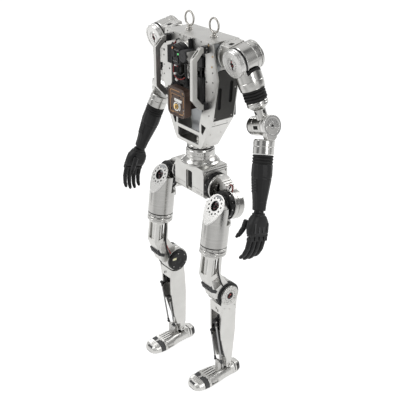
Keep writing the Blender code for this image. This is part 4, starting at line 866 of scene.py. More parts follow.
def waist():
    B = "pelvis"
    body = lathe([(0, 0.8154), (0.0640, 0.8154), (0.0640, 0.8186), (0.0628, 0.8198), (0.0600, 0.8212), (0.0570, 0.8250), (0.0545, 0.8290), (0.0500, 0.8325), (0.0480, 0.8345), (0.0480, 0.8440), (0.0472, 0.8448), (0.0472, 0.8458),
                  (0.0480, 0.8466), (0.0480, 0.8600), (0.0465, 0.8618), (0.0450, 0.8650), (0.0450, 0.8668), (0, 0.8668)], (0, WAIST_Y, 0), Z, 96)
    gr = [obox(Vector((0, WAIST_Y, 0.8470)) + d * 0.0480, d, Z.cross(d), Z, 0.0010, 0.0011, 0.0140) for d in ((Vector((math.cos(a), math.sin(a), 0))) for a in (math.radians(-22), math.radians(158)))]
    cut(body, *gr)
    done(body, "waist_housing", B, turned(Z, BRUSHED, 0.25, "waist"), "waist_actuator", "brushed_aluminium", bevel=0.0004)
    # near-black ring in the gap under the collar: painted shade
    done(cyl((0, WAIST_Y, 0), Z, 0.0436, 0.8669, 0.8703, 64), "waist_seal", B, "hole", slot="black_plastic", bevel=0.0003)
    pts = []
    for a, z in ((-38, 0.8540), (-34, 0.8405), (-30, 0.8540), (-48, 0.8540), (140, 0.8540), (150, 0.8405), (60, 0.8540), (-120, 0.8540)):
        d = Vector((math.cos(math.radians(a)), math.sin(math.radians(a)), 0))
        pts.append((Vector((0, WAIST_Y, z)) + d * 0.0480, d))
    done(join(*[screws([p], d, 0.0021, 0.0011) for p, d in pts]), "waist_bolts", B, "screw", slot="eyebolt_steel", bevel=0)
    done(join(*[cyl(p + d * 0.0004, d, 0.0012, 0, 0.0008, 10) for p, d in pts]), "waist_bolt_sockets", B, "hole", slot="black_plastic", bevel=0)
    fb = circle_pts((0, WAIST_Y, 0.8190), Z, 0.0606, 12, 0.5)
    done(screws([p for p in fb], Z, 0.0021, 0.0018), "waist_flange_bolts", B, "screw", slot="eyebolt_steel", bevel=0)

    pel = prism([(-0.0520, 0.7230), (-0.0430, 0.7120), (0.0400, 0.7120), (0.0480, 0.7230), (0.0480, 0.8150), (-0.0520, 0.8150)], "x", -0.0785, 0.0785)
    for s in (1, -1):
        cut(pel, prism([(s * 0.0740, 0.830), (s * 0.0740, 0.8075), (s * 0.0752, 0.8075), (s * 0.0752, 0.8030), (s * 0.0764, 0.8030), (s * 0.0764, 0.7985), (s * 0.090, 0.7985), (s * 0.090, 0.830)], "y", -0.1, 0.1))
    # rounded window, the groove under it and a relief line
    def rrect(x0, x1, z0, z1, r, n=5):
        out = []
        for cxx, cz, a0 in ((x1 - r, z1 - r, 0), (x0 + r, z1 - r, 90), (x0 + r, z0 + r, 180), (x1 - r, z0 + r, 270)):
            for k in range(n + 1):
                a = math.radians(a0 + 90 * k / n)
                out.append((cxx + r * math.cos(a), cz + r * math.sin(a)))
        return out
    cut(pel, prism(rrect(-0.0165, 0.0165, 0.7225, 0.7910, 0.0060), "y", -0.07, -0.0460))
    cut(pel, prism(rrect(-0.0135, 0.0135, 0.7260, 0.7880, 0.0050), "y", -0.07, -0.020))
    cut(pel, join(box(-0.0790, -0.0185, -0.06, -0.0508, 0.7395, 0.7409), box(0.0185, 0.0790, -0.06, -0.0508, 0.7395, 0.7409)))
    done(pel, "pelvis_shell", B, "alu", "pelvis_block", "satin_aluminium", bevel=0.0010)
    done(join(box(-0.0134, 0.0134, -0.0300, -0.0210, 0.7262, 0.7878), box(-0.0110, 0.0040, -0.0330, -0.0300, 0.7560, 0.7840)), "pelvis_window_floor", B, "charcoal", slot="black_plastic", bevel=0.0006)
    done(join(box(-0.0780, -0.0560, -0.0524, -0.0500, 0.7290, 0.7360), box(0.0400, 0.0600, -0.0522, -0.0500, 0.7250, 0.7330)), "pelvis_pads", B, "alu2", slot="satin_aluminium", bevel=0.0005)
    done(screws([(sx * x, -0.0520, z) for sx in (1, -1) for x, z in ((0.0700, 0.7285),)] + [(0.0700, -0.0520, 0.7285)], -Y, 0.0018, 0.0008), "pelvis_front_screws", B, "screw", slot="eyebolt_steel", bevel=0)
    for s, n in ((1, "left"), (-1, "right")):
        ledge = join(box(*sorted((s * 0.0740, s * 0.0800)), -0.0510, 0.0470, 0.8095, 0.8125), box(*sorted((s * 0.0752, s * 0.0815)), -0.0510, 0.0470, 0.8040, 0.8068))
        done(ledge, "pelvis_ledge_" + n, B, "bright", slot="satin_aluminium", bevel=0.0007)
        done(screws([(s * 0.0785, y, 0.7950) for y in (-0.040, 0.040)] + [(s * 0.0785, 0.040, 0.7300)], X * s, 0.0024, 0.0010), "pelvis_side_bolts_" + n, B, "hole", slot="black_plastic", bevel=0)
        # hip pitch drive: black ring with teeth and bright bolts
        o = Vector((0, WAIST_Y, HIP_Z))
        rg = lathe([(0.0200, 0.0785), (0.0440, 0.0785), (0.0468, 0.0800), (0.0468, 0.0868), (0.0450, 0.0876), (0.0450, 0.0945), (0.0200, 0.0945)], o, X * s, 72)
        done(rg, "hip_drive_ring_" + n, B, "black", slot="black_plastic", bevel=0.0005)
        teeth = []
        for p in circle_pts(o, X * s, 0.0463, 18, 0.2, 0.0868 + 0.0040):
            d = Vector((0, p.y - o.y, p.z - o.z)).normalized()
            teeth.append(obox(p - d * 0.0006, d, X.cross(d), X, 0.0012, 0.0036, 0.0034))
        done(join(*teeth), "hip_drive_lugs_" + n, B, "black", slot="black_plastic", bevel=0.0007)
        bl = []
        for p in circle_pts(o, X * s, 0.0468, 12, 0.4, 0.0832):
            d = Vector((0, p.y - o.y, p.z - o.z)).normalized()
            bl.append(cyl(p - d * 0.0006, d, 0.0017, 0, 0.0008, 12))
        done(join(*bl), "hip_drive_bolts_" + n, B, "screw", slot="eyebolt_steel", bevel=0)


torso()
chest()
waist()


# ================================================================== hips and thighs
def hips():
    B = "hip"
    o = Vector((0, WAIST_Y, HIP_Z))
    disc = lathe([(0, 0.0956), (0.0420, 0.0956), (0.0445, 0.0972), (0.0445, 0.1022), (0.0430, 0.1040), (0.0300, 0.1040), (0.0290, 0.1032), (0.0180, 0.1032), (0.0170, 0.1040), (0, 0.1040)], o, X, 64)
    done_bits = [disc]
    web = prism([(0.0960, 0.7940), (0.1200, 0.7925), (0.1500, 0.7760), (0.1640, 0.7640), (0.1640, 0.7000), (0.1150, 0.7050), (0.0960, 0.7200)], "y", -0.0150, 0.0200)
    cut(web, cyl(ROLL_O, -ROLL_A, 0.0480, -0.05, 0.0470, 56))
    cut(web, prism([(0.1040, 0.7780), (0.1180, 0.7770), (0.1180, 0.7200), (0.1040, 0.7280)], "y", -0.02, -0.0080))
    # three grooves over the shoulder of the web
    for k in range(3):
        cut(web, slab([(-0.030, 0), (0.030, 0), (0.030, 0.0024), (-0.030, 0.0024)], Vector((0.1330 + 0.0085 * k, 0, 0.7870 - 0.0050 * k)), Y, (X * 0.87 - Z * 0.5).normalized(), (X * 0.5 + Z * 0.87).normalized(), -0.0050, 0.0120))
    both(web, "hip_web", B, "alu", slot="satin_aluminium", bevel=0.0014)
    both(disc, "hip_pitch_disc", B, turned(X, key="pitch"), slot="satin_aluminium", bevel=0.0006)
    drum = lathe([(0, 0.0470), (0.0470, 0.0470), (0.0490, 0.0486), (0.0490, 0.0600), (0.0480, 0.0606), (0.0480, 0.0620), (0.0490, 0.0626), (0.0490, 0.0820), (0.0462, 0.0866), (0.0450, 0.0880), (0.0300, 0.0880), (0.0290, 0.0868), (0.0100, 0.0868), (0, 0.0868)], ROLL_O, -ROLL_A, 72)
    both(drum, "hip_roll_drum", B, turned(ROLL_A, key="rolldrum"), "hip_bracket", "satin_aluminium", mat_r=turned(mx(ROLL_A), key="rolldrum"), bevel=0.0006)
    pts = circle_pts(ROLL_O, -ROLL_A, 0.0400, 10, 0.3, 0.0880)
    both(screws(pts, -ROLL_A, 0.0022, 0.0007), "hip_drum_screws", B, "screw", slot="eyebolt_steel", bevel=0)
    sc = screws([(0.1110, -0.0080, 0.7700), (0.1110, -0.0080, 0.7330)], -Y, 0.0022, 0.0010)
    both(sc, "hip_web_screws", B, "screw", slot="eyebolt_steel", bevel=0)
    # cables from the pelvis side to the roll drive
    c1 = tube([(0.1500, 0.0060, 0.7740), (0.1640, 0.0000, 0.7800), (0.1720, -0.0060, 0.7720), (0.1700, -0.0080, 0.7620)], 0.0026, 12, 10)
    done(c1, "hip_cable_dark_left", "hip_left", "wire", slot="black_rubber", bevel=0)
    c2 = tube([(0.1460, 0.0010, 0.7760), (0.1620, -0.0060, 0.7850), (0.1760, -0.0080, 0.7770), (0.1740, -0.0100, 0.7640)], 0.0018, 12, 10)
    done(c2, "hip_cable_red_left", "hip_left", "red", slot="black_rubber", bevel=0)


def thighs():
    B = "thigh"
    rg = lathe([(0, 0.0302), (0.0430, 0.0302), (0.0462, 0.0310), (0.0470, 0.0320), (0.0470, 0.0386), (0.0452, 0.0392), (0.0452, 0.0445), (0.0440, 0.0465), (0, 0.0465)], ROLL_O, -ROLL_A, 72)
    lugs = []
    for p in circle_pts(ROLL_O, -ROLL_A, 0.0464, 16, 0.2, 0.0386 + 0.0030):
        d = (p - ROLL_O + ROLL_A * 0.0416).normalized()
        lugs.append(obox(p - d * 0.0006, d, ROLL_A.cross(d), ROLL_A, 0.0010, 0.0040, 0.0028))
    both(rg, "hip_roll_ring_body", B, "black", "hip_roll_ring", "black_plastic", bevel=0.0005)
    both(join(*lugs), "hip_roll_ring_lugs", B, "charcoal", slot="black_plastic", bevel=0.0007)
    bl = []
    for p in circle_pts(ROLL_O, -ROLL_A, 0.0470, 12, 0.0, 0.0350):
        d = (p - ROLL_O + ROLL_A * 0.0350).normalized()
        bl.append(cyl(p - d * 0.0006, d, 0.0017, 0, 0.0008, 12))
    both(join(*bl), "hip_roll_ring_bolts", B, "screw", slot="eyebolt_steel", bevel=0)

    base = YAW_O + THIGH_A * 0.0012
    flange_cut = lambda grow=0.0: obox(ROLL_O + FLANGE_N * (0.15 + grow), X, FLANGE_N.cross(X), FLANGE_N, 0.2, 0.3, 0.15)
    back_cut = lambda: obox(ROLL_O - ROLL_A * (0.0260 + 0.1), X, ROLL_A.cross(X), ROLL_A, 0.2, 0.0560, 0.1)
    # turned body: stepped lower collar, groove and a smooth barrel
    prof = [(0, 0.0), (0.0430, 0.0), (0.0450, 0.0012), (0.0450, 0.0090), (0.0438, 0.0098), (0.0438, 0.0112), (0.0448, 0.0120), (0.0450, 0.0130), (0.0450, 0.1500), (0, 0.1500)]
    body = lathe(prof, base, THIGH_A, 96)
    union(body, cyl(ROLL_O, FLANGE_N, 0.0398, -0.0460, -0.0030, 64))
    cut(body, flange_cut(-0.0030), back_cut(), cyl(ROLL_O, FLANGE_N, 0.0186, -0.0130, 0.02, 48))
    # groove low on the barrel, deeper at the front, with a near-black core that paints the shade in it
    cut(body, ring(base, THIGH_A, 0.0380, 0.0500, 0.0096, 0.0132, 72))
    both(body, "thigh_barrel", B, turned(THIGH_A, (0.47, 0.465, 0.45), 0.24, "thigh"), "thigh_housing", "brushed_aluminium", mat_r=turned(mx(THIGH_A), (0.47, 0.465, 0.45), 0.24, "thigh"), bevel=0.0006)
    gap = lathe([(0, 0.0097), (0.0432, 0.0097), (0.0436, 0.0102), (0.0436, 0.0126), (0.0432, 0.0131), (0, 0.0131)], base, THIGH_A, 72)
    both(gap, "thigh_gap_core", B, "hole", slot="black_plastic", bevel=0)
    # light flange with its bolt circle
    fl = lathe([(0, 0.0), (0, 0.0)], ROLL_O, FLANGE_N, 8) if False else None
    face = cyl(base, THIGH_A, 0.0448, 0.0, 0.1500, 96)
    union(face, cyl(ROLL_O, FLANGE_N, 0.0398, -0.0100, 0.0, 64))
    keep(face, obox(ROLL_O - FLANGE_N * 0.0014, X, FLANGE_N.cross(X), FLANGE_N, 0.2, 0.3, 0.0013))
    cut(face, back_cut(), cyl(ROLL_O, FLANGE_N, 0.0176, -0.02, 0.02, 56))
    pts = circle_pts(ROLL_O, FLANGE_N, 0.0275, 12, 0.25, 0.0)
    cut(face, join(*[cyl(p, FLANGE_N, 0.0034, -0.0020, 0.002, 16) for p in pts]))
    both(face, "thigh_flange", B, "bright", slot="satin_aluminium", bevel=0.0005)
    both(join(*[lathe([(0, -0.0012), (0.0032, -0.0012), (0.0032, -0.0004), (0.0018, -0.0004), (0.0017, -0.0009), (0, -0.0009)], p, FLANGE_N, 16) for p in pts]), "thigh_flange_screws", B, "black", slot="eyebolt_steel", bevel=0)
    more = circle_pts(ROLL_O, FLANGE_N, 0.0345, 12, 0.75, 0.0)
    both(join(*[cyl(p, FLANGE_N, 0.0012, -0.0002, 0.0003, 12) for p in more]), "thigh_flange_pins", B, "hole", slot="black_plastic", bevel=0)
    bore = lathe([(0.0172, -0.0004), (0.0176, -0.0010), (0.0176, -0.0120), (0.0120, -0.0120), (0.0120, -0.0090), (0.0166, -0.0080), (0.0166, -0.0006)], ROLL_O, FLANGE_N, 56)
    both(bore, "thigh_bore_lining", B, "black", slot="black_plastic", bevel=0.0002)
    both(cyl(ROLL_O, FLANGE_N, 0.0172, -0.0128, -0.0110, 48), "thigh_bore_floor", B, "hole", slot="black_plastic", bevel=0)
    u, v, a = frame_of(FLANGE_N)
    bits = join(*[obox(ROLL_O + u * (0.0085 * math.cos(t)) + v * (0.0085 * math.sin(t)) - FLANGE_N * 0.0070, u, v, a, 0.0030, 0.0020, 0.0030) for t in (0.3, 2.2, 4.4)])
    both(bits, "thigh_bore_plugs", B, "maroon", slot="black_rubber", bevel=0.0006)
    both(join(*[obox(ROLL_O + u * (0.0060 * math.cos(t)) + v * (0.0060 * math.sin(t)) - FLANGE_N * 0.0080, u, v, a, 0.0024, 0.0024, 0.0030) for t in (1.2, 3.3, 5.4)]), "thigh_bore_pins", B, "charcoal", slot="black_plastic", bevel=0.0005)
    # bearing spigot towards the roll drive
    sp = cyl(ROLL_O, -ROLL_A, 0.0328, 0.0110, 0.0298, 48)
    both(sp, "thigh_spigot", B, "grey", slot="satin_aluminium", bevel=0.0005)
    # small bolts on the lower collar
    cb = []
    for p in circle_pts(base, THIGH_A, 0.0450, 14, 0.3, 0.0052):
        d = (p - base - THIGH_A * 0.0052).normalized()
        cb.append(cyl(p - d * 0.0008, d, 0.0017, 0, 0.0009, 12))
    both(join(*cb), "thigh_collar_bolts", B, "hole", slot="black_plastic", bevel=0)
    # rear pod with two screws, and a lead over it
    top = base + THIGH_A * 0.118
    pod = [Vector((0.1395, -0.0170, 0.646)), Vector((0.1395, -0.0120, 0.664)), Vector((0.1395, -0.0170, 0.676))]
    p = prism([(-0.0240, 0.6300), (-0.0085, 0.6360), (-0.0060, 0.6500), (-0.0085, 0.6640), (-0.0180, 0.6700), (-0.0240, 0.6680)], "x", 0.1370, 0.1690)
    both(p, "thigh_rear_pod", B, "alu2", slot="satin_aluminium", bevel=0.0030, seg=3)
    both(screws([(0.1690, -0.0150, 0.6430), (0.1690, -0.0150, 0.6590)], X, 0.0022, 0.0010), "thigh_pod_screws", B, "screw", slot="eyebolt_steel", bevel=0)
    both(tube([(0.1590, -0.0150, 0.6690), (0.1600, -0.0080, 0.6790), (0.1600, -0.0120, 0.6880), (0.1580, -0.0220, 0.6900)], 0.0020, 10, 8), "thigh_lead", B, "wire", slot="black_rubber", bevel=0)


# ================================================================== lower thighs, knees and shanks
def links():
    B = "lower_thigh"
    col = lathe([(0, -0.0200), (0.0380, -0.0200), (0.0432, -0.0178), (0.0448, -0.0160), (0.0450, -0.0150), (0.0450, -0.0104), (0.0440, -0.0098), (0.0440, -0.0086), (0.0450, -0.0080), (0.0450, -0.0040), (0.0436, -0.0012), (0.0420, 0.0), (0, 0.0)], YAW_O, THIGH_A, 80)
    both(col, "yaw_collar", B, turned(THIGH_A, key="yaw"), "thigh_link", "satin_aluminium", mat_r=turned(mx(THIGH_A), key="yaw"), bevel=0.0005)
    cb = []
    for p in circle_pts(YAW_O, THIGH_A, 0.0450, 16, 0.0, -0.0056):
        d = (p - YAW_O + THIGH_A * 0.0056).normalized()
        cb.append(cyl(p - d * 0.0006, d, 0.0015, 0, 0.0007, 12))
    both(join(*cb), "yaw_collar_bolts", B, "screw", slot="eyebolt_steel", bevel=0)
    # forged link: two side cheeks, a slim bright tube in front, open lattice between
    side = [(-0.0990, 0.5560), (-0.1100, 0.4780), (-0.0790, 0.3880), (-0.0560, 0.3780), (-0.0400, 0.3800), (0.0, 0.3900),
            (0.0020, 0.4100), (-0.0220, 0.4300), (-0.0540, 0.4780), (-0.0480, 0.5560)]
    wins = [[(-0.0900, 0.4600), (-0.0780, 0.4180), (-0.0520, 0.4340), (-0.0660, 0.4700)], [(-0.0860, 0.5400), (-0.0940, 0.4800), (-0.0680, 0.4860), (-0.0600, 0.5400)]]
    blade = prism(side, "x", 0.1300, 0.1760)
    rear = keep(prism(side, "x", 0.1300, 0.1760), prism([(-0.0680, 0.5600), (-0.0780, 0.4780), (-0.0700, 0.4400), (-0.0480, 0.4180), (0.02, 0.39), (0.02, 0.56)], "x", 0.10, 0.20)) if False else None
    cut(blade, *[prism(w, "x", 0.10, 0.20) for w in wins])
    cut(blade, prism([(-0.1150, 0.5450), (-0.1150, 0.4850), (-0.0500, 0.4850), (-0.0400, 0.5450)], "x", 0.1390, 0.1670))
    cut(blade, cyl((0, KNEE.y, KNEE.z), X, 0.0370, 0.10, 0.20, 56))
    both(blade, "thigh_link_cheeks", B, "alu", slot="satin_aluminium", bevel=0.0022, seg=3)
    a0, a1 = Vector((0.1530, -0.0770, 0.5540)), Vector((0.1530, -0.0860, 0.4700))
    d = (a1 - a0).normalized()
    L = (a1 - a0).length
    tub = lathe([(0, 0.0), (0.0255, 0.0), (0.0262, 0.0020), (0.0240, 0.0060), (0.0215, 0.0100), (0.0205, 0.0200), (0.0205, L - 0.016), (0.0218, L - 0.010), (0.0225, L), (0, L)], a0, d, 56)
    both(tub, "thigh_link_tube", B, turned(d, BRUSHED, 0.20, "linktube"), slot="satin_aluminium", mat_r=turned(mx(d), BRUSHED, 0.20, "linktube"), bevel=0.0005)
    # rubber chevron on the lower front
    ch = prism([(-0.1015, 0.4400), (-0.0945, 0.4190), (-0.0720, 0.4060), (-0.0665, 0.4155), (-0.0860, 0.4280), (-0.0925, 0.4440)], "x", 0.1288, 0.1772)
    both(ch, "thigh_link_pad", B, "charcoal", slot="black_rubber", bevel=0.0014)
    both(slab([(-0.0150, -0.0050), (0.0150, -0.0050), (0.0120, 0.0050), (-0.0120, 0.0050)], Vector((0.1530, -0.0985, 0.4300)), X, (Z * 0.95 - Y * 0.31).normalized(), (Y * -0.95 - Z * 0.31).normalized(), -0.0020, 0.0014), "thigh_link_pad_insert", B, "black", slot="black_rubber", bevel=0.0006)
    # knee drum and its rings
    drum = lathe([(0, 0.1170), (0.0420, 0.1170), (0.0440, 0.1185), (0.0440, 0.1320), (0.0430, 0.1330), (0.0430, 0.1345), (0.0440, 0.1355), (0.0440, 0.1600), (0.0428, 0.1612), (0, 0.1612)], (0, KNEE.y, KNEE.z), X, 80)
    both(drum, "knee_drum", B, turned(X, BRUSHED, 0.28, "knee"), slot="satin_aluminium", bevel=0.0005)
    blk = lathe([(0, 0.1613), (0.0440, 0.1613), (0.0440, 0.1690), (0.0425, 0.1696), (0.0425, 0.1755), (0.0440, 0.1762), (0.0440, 0.1788), (0, 0.1788)], (0, KNEE.y, KNEE.z), X, 80)
    both(blk, "knee_ring", B, "black", slot="black_plastic", bevel=0.0004)
    bl, lg = [], []
    for p in circle_pts((0, KNEE.y, KNEE.z), X, 0.0440, 14, 0.3, 0.1650):
        d2 = Vector((0, p.y - KNEE.y, p.z - KNEE.z)).normalized()
        bl.append(cyl(p - d2 * 0.0008, d2, 0.0018, 0, 0.0012, 12))
    for p in circle_pts((0, KNEE.y, KNEE.z), X, 0.0430, 14, 0.8, 0.1725):
        d2 = Vector((0, p.y - KNEE.y, p.z - KNEE.z)).normalized()
        lg.append(obox(p, d2, X.cross(d2), X, 0.0010, 0.0044, 0.0024))
    both(join(*bl), "knee_ring_bolts", B, "screw", slot="eyebolt_steel", bevel=0)
    both(join(*lg), "knee_ring_lugs", B, "charcoal", slot="black_plastic", bevel=0.0006)
    # medial motor cap
    cap = lathe([(0, 0.0), (0.0400, 0.0), (0.0400, 0.0052), (0.0385, 0.0070), (0.0372, 0.0074), (0.0360, 0.0096), (0.0340, 0.0100), (0.0180, 0.0100), (0.0170, 0.0090), (0.0080, 0.0090), (0.0070, 0.0100), (0, 0.0100)], (0.1166, KNEE.y, KNEE.z), -X, 72)
    both(cap, "knee_cap", B, "black", "knee_motor_cap", "black_plastic", bevel=0.0006)
    lab = slab([(-0.008, -0.004), (0.008, -0.004), (0.008, 0.004), (-0.008, 0.004)], (0.1064, KNEE.y - 0.020, KNEE.z + 0.012), Y, Z, -X, -0.0002, 0.0005)
    both(lab, "knee_cap_label", B, "yellow", slot="black_plastic", bevel=0.0002)
    both(screws(circle_pts((0.1066, KNEE.y, KNEE.z), -X, 0.0300, 6, 0.4), -X, 0.0020, 0.0010), "knee_cap_screws", B, "screw", slot="eyebolt_steel", bevel=0)
    both(tube([(0.1180, -0.0500, 0.4180), (0.1150, -0.0560, 0.4300), (0.1220, -0.0620, 0.4500), (0.1280, -0.0640, 0.4660)], 0.0018, 10, 8), "knee_lead_red", B, "red", slot="black_rubber", bevel=0)
    both(tube([(0.1120, -0.0540, 0.3900), (0.1150, -0.0600, 0.4100), (0.1235, -0.0640, 0.4400), (0.1260, -0.0660, 0.4800), (0.1265, -0.0620, 0.5200), (0.1300, -0.0600, 0.5480)], 0.0032, 12, 8), "knee_lead_black", B, "wire", slot="black_rubber", bevel=0)
    both(tube([(0.1780, -0.0440, 0.4260), (0.1800, -0.0560, 0.4500), (0.1790, -0.0660, 0.4900), (0.1770, -0.0660, 0.5300)], 0.0020, 10, 8), "link_lead", B, "wire", slot="black_rubber", bevel=0)


def shanks():
    B = "lower_leg"
    body = [(-0.0510, 0.3480), (-0.0500, 0.2400), (-0.0380, 0.1450), (-0.0240, 0.1000), (-0.0100, 0.0960), (0.0140, 0.0960), (0.0150, 0.1300), (0.0170, 0.2300), (0.0120, 0.3100), (0.0080, 0.3480)]
    hw = lambda z: (0.118 - 0.001 * (z - 0.096) / 0.252, 0.162 + 0.021 * (z - 0.096) / 0.252)
    s = loft([[(hw(z)[0], y, z) for y, z in body], [(hw(z)[1], y, z) for y, z in body]])
    cut(s, cyl((0, KNEE.y, KNEE.z), X, 0.0472, 0.10, 0.1795, 72))
    cut(s, prism([(-0.070, 0.0900), (-0.070, 0.3100), (-0.0180, 0.3100), (-0.0140, 0.2100), (-0.0120, 0.0900)], "x", 0.1238, 0.1705))
    union(s, prism([(-0.0100, 0.1300), (-0.0115, 0.0700), (-0.0070, 0.0600), (0.0070, 0.0600), (0.0115, 0.0700), (0.0130, 0.1300)], "x", 0.1180, 0.1620))
    cut(s, prism([(-0.0700, 0.1050), (-0.0700, 0.0400), (0.0500, 0.0400), (0.0500, 0.1050)], "x", 0.1255, 0.1545))
    cut(s, cyl((0, ANKLE.y, ANKLE.z), X, 0.0056, 0.10, 0.18, 28))
    # two dark slots near the top, a relief panel on the outer flank and on the calf
    for k in range(2):
        cut(s, obox((0.1500 + 0.0090 * k, -0.0510, 0.3270 - 0.006 * k), X, Y, Z, 0.0028, 0.0030, 0.0050))
    cut(s, box(0.1300, 0.1640, 0.0140, 0.03, 0.180, 0.2800))
    both(s, "shank_shell", B, "alu", "shank", "satin_aluminium", bevel=0.0016, seg=3)
    wall = [(-0.0425, 0.2040), (-0.0275, 0.1450), (-0.0150, 0.1060), (-0.0100, 0.0985), (-0.0125, 0.2040)]
    both(loft([[(hw(z)[1] - 0.0045, y, z) for y, z in wall], [(hw(z)[1] - 0.0002, y, z) for y, z in wall]]), "shank_side_wall", B, "alu", slot="satin_aluminium", bevel=0.0006)
    lin = join(prism([(-0.0130, 0.1070), (-0.0150, 0.2100), (-0.0162, 0.2380), (-0.0190, 0.2380), (-0.0172, 0.2100), (-0.0150, 0.1070)], "x", 0.1244, 0.1590))
    both(lin, "shank_liner", B, "charcoal", slot="black_plastic", bevel=0)
    both(box(0.1304, 0.1636, 0.0108, 0.0139, 0.1804, 0.2796), "shank_back_insert", B, "charcoal", slot="black_plastic", bevel=0.0008)
    pl = [(-0.0530, 0.3480), (-0.0570, 0.3840), (-0.0463, 0.4093), (-0.0210, 0.4200), (0.0043, 0.4093), (0.0150, 0.3840), (0.0110, 0.3440), (0.0100, 0.3200), (-0.0500, 0.3200)]
    ring_pl = []
    for k in range(29):
        t = math.radians(-20 + 220 * k / 28)
        ring_pl.append((KNEE.y + 0.0358 * math.cos(t), KNEE.z + 0.0358 * math.sin(t)))
    pp = prism([(0.0130, 0.3720)] + [p for p in ring_pl[3:26]] + [(-0.0546, 0.3720), (-0.0530, 0.3480), (-0.0500, 0.3200), (0.0100, 0.3200), (0.0110, 0.3440)], "x", 0.1796, 0.1850)
    both(pp, "knee_side_plate", B, "alu", slot="satin_aluminium", bevel=0.0010)
    disc = lathe([(0, 0.1790), (0.0352, 0.1790), (0.0356, 0.1866), (0.0345, 0.1880), (0.0262, 0.1880), (0.0255, 0.1868), (0.0150, 0.1868), (0.0140, 0.1878), (0.0125, 0.1878), (0.0120, 0.1850), (0, 0.1850)], (0, KNEE.y, KNEE.z), X, 72)
    both(disc, "knee_side_disc", B, turned(X, key="kneedisc"), slot="satin_aluminium", bevel=0.0004)
    both(dots(circle_pts((0, KNEE.y, KNEE.z), X, 0.0204, 16, 0.2, 0.1868), X, 0.0014, 0.0004), "knee_disc_holes", B, "hole", slot="black_plastic", bevel=0)
    both(screws(circle_pts((0, KNEE.y, KNEE.z), X, 0.0305, 10, 0.0, 0.1879), X, 0.0020, 0.0009), "knee_disc_screws", B, "screw", slot="eyebolt_steel", bevel=0)
    both(cyl((0, KNEE.y, KNEE.z), X, 0.0118, 0.1851, 0.1856, 40), "knee_bore_floor", B, "hole", slot="black_plastic", bevel=0)
    both(join(obox((0.1862, KNEE.y + 0.002, KNEE.z + 0.003), Y, Z, X, 0.0036, 0.0026, 0.0010), obox((0.1862, KNEE.y - 0.004, KNEE.z - 0.004), Y, Z, X, 0.0022, 0.0022, 0.0010)), "knee_bore_plug", B, "red", slot="black_rubber", bevel=0.0005)
    both(screws([(0.1851, -0.0420, 0.3380), (0.1851, 0.0020, 0.3380), (0.1851, -0.0200, 0.3290)], X, 0.0024, 0.0011), "shank_plate_screws", B, "screw", slot="eyebolt_steel", bevel=0)
    both(join(*[box(0.1505 + 0.0090 * k, 0.1535 + 0.0090 * k, -0.0486, -0.0478, 0.3225 - 0.006 * k, 0.3310 - 0.006 * k) for k in range(2)]), "shank_slot_floor", B, "hole", slot="black_plastic", bevel=0)
    # bearing rings for the ankle pin in the fork
    fr = join(ring((0, ANKLE.y, ANKLE.z), X, 0.0056, 0.0084, 0.1618, 0.1632, 36), ring((0, ANKLE.y, ANKLE.z), X, 0.0056, 0.0084, 0.1166, 0.1181, 36))
    both(fr, "fork_bushings", B, "bright", slot="satin_aluminium", bevel=0.0003)


def crank_piece(centre, pin, x0, x1, r_hub, r_pin, pin_x1, key, body, node):
    c, p = Vector(centre), Vector(pin)
    d = p - c
    d.x = 0
    u = d.normalized()
    v = X.cross(u)
    o = lathe([(0, x0), (r_hub - 0.0008, x0), (r_hub, x0 + 0.0008), (r_hub, x1 - 0.0008), (r_hub - 0.0008, x1), (r_hub * 0.62, x1), (r_hub * 0.60, x1 - 0.0014), (r_hub * 0.30, x1 - 0.0014), (r_hub * 0.28, x1), (0, x1)], (0, c.y, c.z), X, 48)
    arm = slab([(-d.length / 2, -r_pin * 0.9), (d.length / 2, -r_pin * 0.85), (d.length / 2, r_pin * 0.85), (-d.length / 2, r_pin * 0.9)], Vector(((x0 + x1) / 2, (c.y + p.y) / 2, (c.z + p.z) / 2)), u, v, X, -(x1 - x0) / 2 * 0.86, (x1 - x0) / 2 * 0.86)
    eye = lathe([(0, x0), (r_pin, x0), (r_pin, x1), (0, x1)], (0, p.y, p.z), X, 36)
    union(o, arm, eye)
    both(o, key + "_web", body, "black", node, "black_plastic", bevel=0.0008)
    pn = lathe([(0, min(x0, pin_x1)), (0.0026, min(x0, pin_x1)), (0.0026, max(x1, pin_x1)), (0, max(x1, pin_x1))], (0, p.y, p.z), X, 24)
    hd = lathe([(0, 0.0), (0.0036, 0.0), (0.0036, 0.0008), (0.0016, 0.0010), (0.0016, 0.0003), (0, 0.0003)], (x1 - 0.0002, p.y, p.z), X, 20)
    both(join(pn, hd), key + "_pin", body, "steel", slot="black_plastic", bevel=0)
    both(screws(circle_pts((x1 - 0.0002, c.y, c.z), X, r_hub * 0.80, 6, 0.2), X, 0.0012, 0.0006), key + "_screws", body, "screw", slot="black_plastic", bevel=0)


